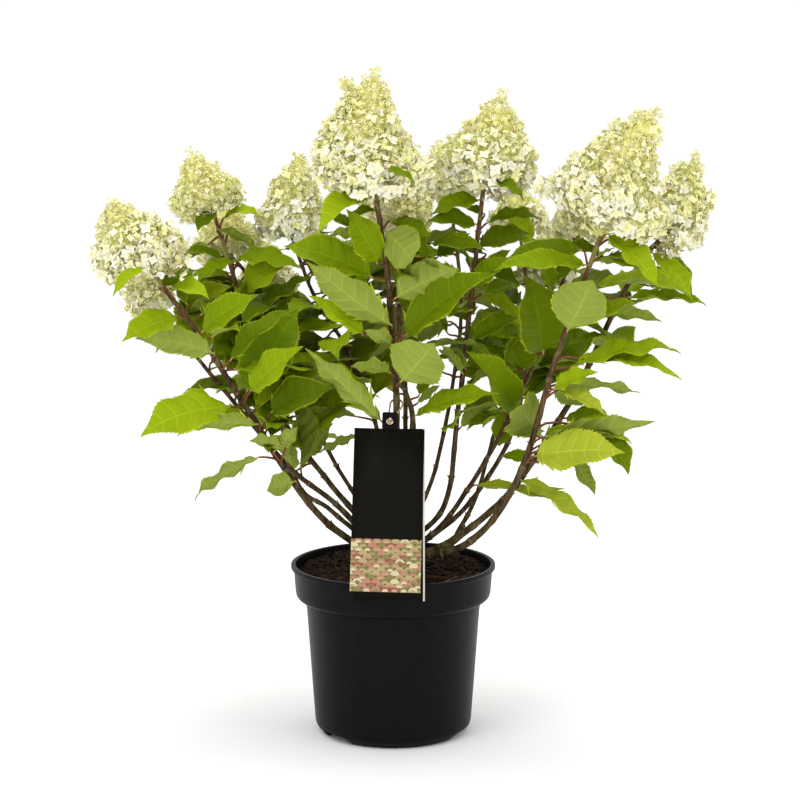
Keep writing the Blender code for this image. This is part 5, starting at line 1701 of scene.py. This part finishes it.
PRINT_COLOURS = {"print_cream": (0.42, 0.34, 0.160), "print_blush": (0.44, 0.215, 0.145),
                 "print_rose": (0.33, 0.100, 0.078), "print_sage": (0.22, 0.200, 0.070),
                 "print_leaf": (0.085, 0.072, 0.024), "print_pale": (0.62, 0.53, 0.33)}
BLACK, CORE, CREAM, BLUSH, ROSE, SAGE, LEAF, PALE = range(8)


def card_point(x, y, lift, turn=0.0, shift=(0.0, 0.0, 0.0)):
    """A point of the leaning cards from its place on the card, in millimetres."""
    lean = math.radians(TAG_LEAN)
    up = np.array((0, math.sin(lean), math.cos(lean)))
    out = np.array((0, -math.cos(lean), math.sin(lean)))
    turn = math.radians(turn)
    a = x * math.cos(turn) + y * math.sin(turn)
    b = y * math.cos(turn) - x * math.sin(turn)
    return np.array(TAG_BOTTOM) + np.array(shift) + np.array((a, 0, 0)) + up * b + out * lift


def slab(bin_, outline, low, high, place, slots):
    """A flat plate between two lifts with an outline of card points; slots: face, edge, back."""
    count = len(outline)
    side, after = circle(count)
    front = [place(x, y, high) for x, y in outline]
    back = [place(x, y, low) for x, y in outline]
    middle = np.mean(outline, axis=0)
    verts = front + back + [place(*middle, high), place(*middle, low)]
    bin_.add(np.array(verts),
             [fan(2 * count, side, after), fan(2 * count + 1, count + after, count + side),
              np.stack([side, count + side, count + after, after], 1)],
             [slots[0], slots[2], slots[1]])


def place_front(x, y, lift):
    """A point of the front card."""
    return card_point(x, y, lift, TAG_TURN)


def place_back(x, y, lift):
    """A point of the back card."""
    return card_point(x, y - (BACK_CARD_LENGTH - TAG_LENGTH), lift - BACK_CARD_SPACE, 0.0,
                      BACK_CARD_SHIFT)


def add_neck(bin_, lower, upper):
    """The neck of the front card, with the hole for the twine."""
    hole = EYELET_PLACE * NECK_LENGTH
    turns = [2 * math.pi * step / HOLE_STEPS for step in range(HOLE_STEPS)]
    edge = []
    for angle in turns:
        cos, sin = math.cos(angle), math.sin(angle)
        reach = min(NECK_WIDTH / 2 / max(abs(cos), 1e-6),
                    (NECK_LENGTH - hole if sin > 0 else hole) / max(abs(sin), 1e-6))
        edge.append((reach * cos, TAG_LENGTH + hole + reach * sin))
    eye = [(EYELET_RADIUS * math.cos(angle), TAG_LENGTH + hole + EYELET_RADIUS * math.sin(angle))
           for angle in turns]
    verts = np.array([place_front(x, y, lift) for lift in (upper, lower) for x, y in edge + eye])
    n = HOLE_STEPS
    side, after = circle(n)
    bin_.add(verts, [np.stack([side, after, n + after, n + side], 1),
                     np.stack([2 * n + side, 3 * n + side, 3 * n + after, 2 * n + after], 1),
                     np.stack([side, 2 * n + side, 2 * n + after, after], 1),
                     np.stack([n + side, n + after, 3 * n + after, 3 * n + side], 1)],
             [BLACK, BLACK, BLACK, CORE])


def add_picture(bin_, half, upper):
    """A printed panel of overlapping petal scales in seeded tints."""
    lift = upper + 0.10
    slab(bin_, [(-half, -0.2), (half, -0.2), (half, PICTURE_HEIGHT), (-half, PICTURE_HEIGHT)],
         upper - 0.05, lift, place_front, (LEAF, CREAM, CORE))
    dice = np.random.default_rng(5)
    for level, row in enumerate(range(SCALE_ROWS, -1, -1), 1):
        height = 0.3 + row * (PICTURE_HEIGHT - 5.0) / SCALE_ROWS
        offset = SCALE_RADIUS if row % 2 else 0.0
        for step in range(-4, 5):
            centre = step * 2 * SCALE_RADIUS * 0.93 + offset * 0.93
            tint = int(dice.choice((CREAM, BLUSH, ROSE, SAGE, PALE),
                                   p=(0.27, 0.26, 0.12, 0.20, 0.15)))
            heart = int(dice.choice((CREAM, BLUSH, SAGE, PALE)))
            for size, look in ((1.0, tint), (0.58, heart)):
                arc = []
                for turn in range(SCALE_STEPS + 1):
                    angle = math.pi * turn / SCALE_STEPS
                    x = centre + SCALE_RADIUS * size * math.cos(angle) * 1.05
                    y = height + SCALE_RADIUS * size * math.sin(angle)
                    arc.append((min(max(x, -half), half), min(max(y, -0.2), PICTURE_HEIGHT)))
                if max(arc)[0] - min(arc)[0] >= 1.0:
                    front_face(bin_, arc, lift + SCALE_LIFT * level
                               + (SCALE_LIFT / 2 if size < 1 else 0.0), place_front, look)


def make_tag():
    """The two cards of the tag and the twine."""
    looks = [mottled("card_black", CARD_COLOURS, 700.0, 0.50, (0.08, 0.0001), gloss=0.06),
             plain("card_core", CARD_CORE, 0.75)]
    looks += [plain(name, colour, 0.5, Specular_IOR_Level=0.1)
              for name, colour in PRINT_COLOURS.items()]
    half = TAG_WIDTH / 2
    lower, upper = -TAG_THICKNESS / 2, TAG_THICKNESS / 2
    front = Bin()
    slab(front, [(-half, 0), (half, 0), (half, TAG_LENGTH), (NECK_WIDTH / 2, TAG_LENGTH),
                 (-NECK_WIDTH / 2, TAG_LENGTH), (-half, TAG_LENGTH)], lower, upper, place_front,
         (BLACK, BLACK, BLACK))
    add_neck(front, lower, upper)
    add_picture(front, half, upper)
    piece = front.make("tag_front_card", looks)
    finish_piece(piece, "card", "tag_front")

    back = Bin()
    slab(back, [(-half, 0), (half, 0), (half, BACK_CARD_LENGTH), (-half, BACK_CARD_LENGTH)],
         lower, upper, place_back, (BLACK, CORE, BLACK))
    slab(back, [(half - BACK_CARD_LIP, 0.2), (half - 0.1, 0.2),
                (half - 0.1, BACK_CARD_LENGTH - 0.2),
                (half - BACK_CARD_LIP, BACK_CARD_LENGTH - 0.2)],
         upper - 0.02, upper + 0.08, place_back, (CORE, CORE, CORE))
    finish_piece(back.make("tag_back_card", looks), "card", "tag_back")
    make_string()


def front_face(bin_, arc, lift, place, look):
    """A fan over a half disc of the printed panel."""
    middle = ((arc[0][0] + arc[-1][0]) / 2, (arc[0][1] + arc[-1][1]) / 2)
    verts = np.array([place(*middle, lift)] + [place(x, y, lift) for x, y in arc])
    step = np.arange(len(arc) - 1)
    bin_.add(verts, fan(0, 1 + step, 2 + step), look)


def make_string():
    """Twisted paper twine: a loop from the eyelet round the central stem, and its knot."""
    height = TAG_LENGTH + NECK_LENGTH * EYELET_PLACE
    eyelet = card_point(0, height, 0.0, TAG_TURN)
    route = ROUTES["centre"]
    hold = route[np.argmin(np.abs(route[:, 2] - (eyelet[2] + STRING_RISE)))]
    way = unit(hold - eyelet)
    span = np.linalg.norm(hold - eyelet)
    across = unit(np.array((1.0, 0.0, 0.0)) - way * way[0])
    clear = STEMS["centre"][0] + STRING_REACH
    leave = math.pi - math.acos((clear - STRING_TURN) / (span + STRING_LEAD))
    loop = np.concatenate([
        [eyelet + way * (centre + radius * math.cos(angle)) + across * radius * math.sin(angle)
         for angle in np.linspace(first, last, 60)]
        for centre, radius, first, last in ((span, clear, -leave, leave),
                                            (-STRING_LEAD, STRING_TURN, leave,
                                             2 * math.pi - leave))])
    anchors = np.vstack([loop, loop[:1]])
    length = lengths_along(anchors)
    even = np.linspace(0, length[-1], STRING_STEPS)
    loop = np.stack([np.interp(even, length, anchors[:, axis]) for axis in range(3)], 1)
    length = lengths_along(loop)
    ways = unit(np.gradient(loop, axis=0))
    side = unit(np.cross(ways, way + np.array((0.1, 0.2, 0.0))))
    ahead = np.cross(ways, side)
    bin_ = Bin()
    for strand in range(2):
        phase = 2 * math.pi * length / TWINE_TWIST + math.pi * strand
        path = loop + TWINE_OFFSET * (np.cos(phase)[:, None] * side
                                      + np.sin(phase)[:, None] * ahead)
        add_tube(bin_, path, TWINE_RADIUS, 6, 0)
    knot = eyelet + way * 1.0 + np.array((0, -1.6, 0.3))
    turn = np.linspace(0, 2 * math.pi, 60)
    path = knot + np.stack([1.5 * (np.sin(turn) + 0.9 * np.sin(2 * turn)) * 0.7,
                            0.9 * -np.sin(3 * turn), 1.4 * (np.cos(turn) - 1.1 * np.cos(2 * turn))
                            * 0.8], 1)
    add_tube(bin_, path, TWINE_RADIUS, 7, 0)
    twine = mottled("twine_tan", TWINE_COLOURS, 900.0, 0.85, (0.5, 0.0003))
    finish_piece(bin_.make("tag_twine", [twine], smooth=60), "twine", "tag_string")


# ---- the whole plant -------------------------------------------------------------------------

def stem_marks():
    """Where the nodes stand along each stem, in millimetres from its foot."""
    marks = {}
    for name in STEMS:
        dice = random.Random(name)
        length = step_lengths(ROUTES[name]).sum()
        at, own = dice.uniform(*NODE_FIRST), []
        while at < length - NODE_LAST:
            own.append(at)
            at += dice.uniform(*NODE_STEP)
        marks[name] = own
    return marks


def main():
    """Makes every piece."""
    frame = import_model()
    make_stage()
    make_pot()
    make_compost()
    make_stems(stem_marks())
    make_leaves(frame)
    make_blooms()
    make_tag()


main()
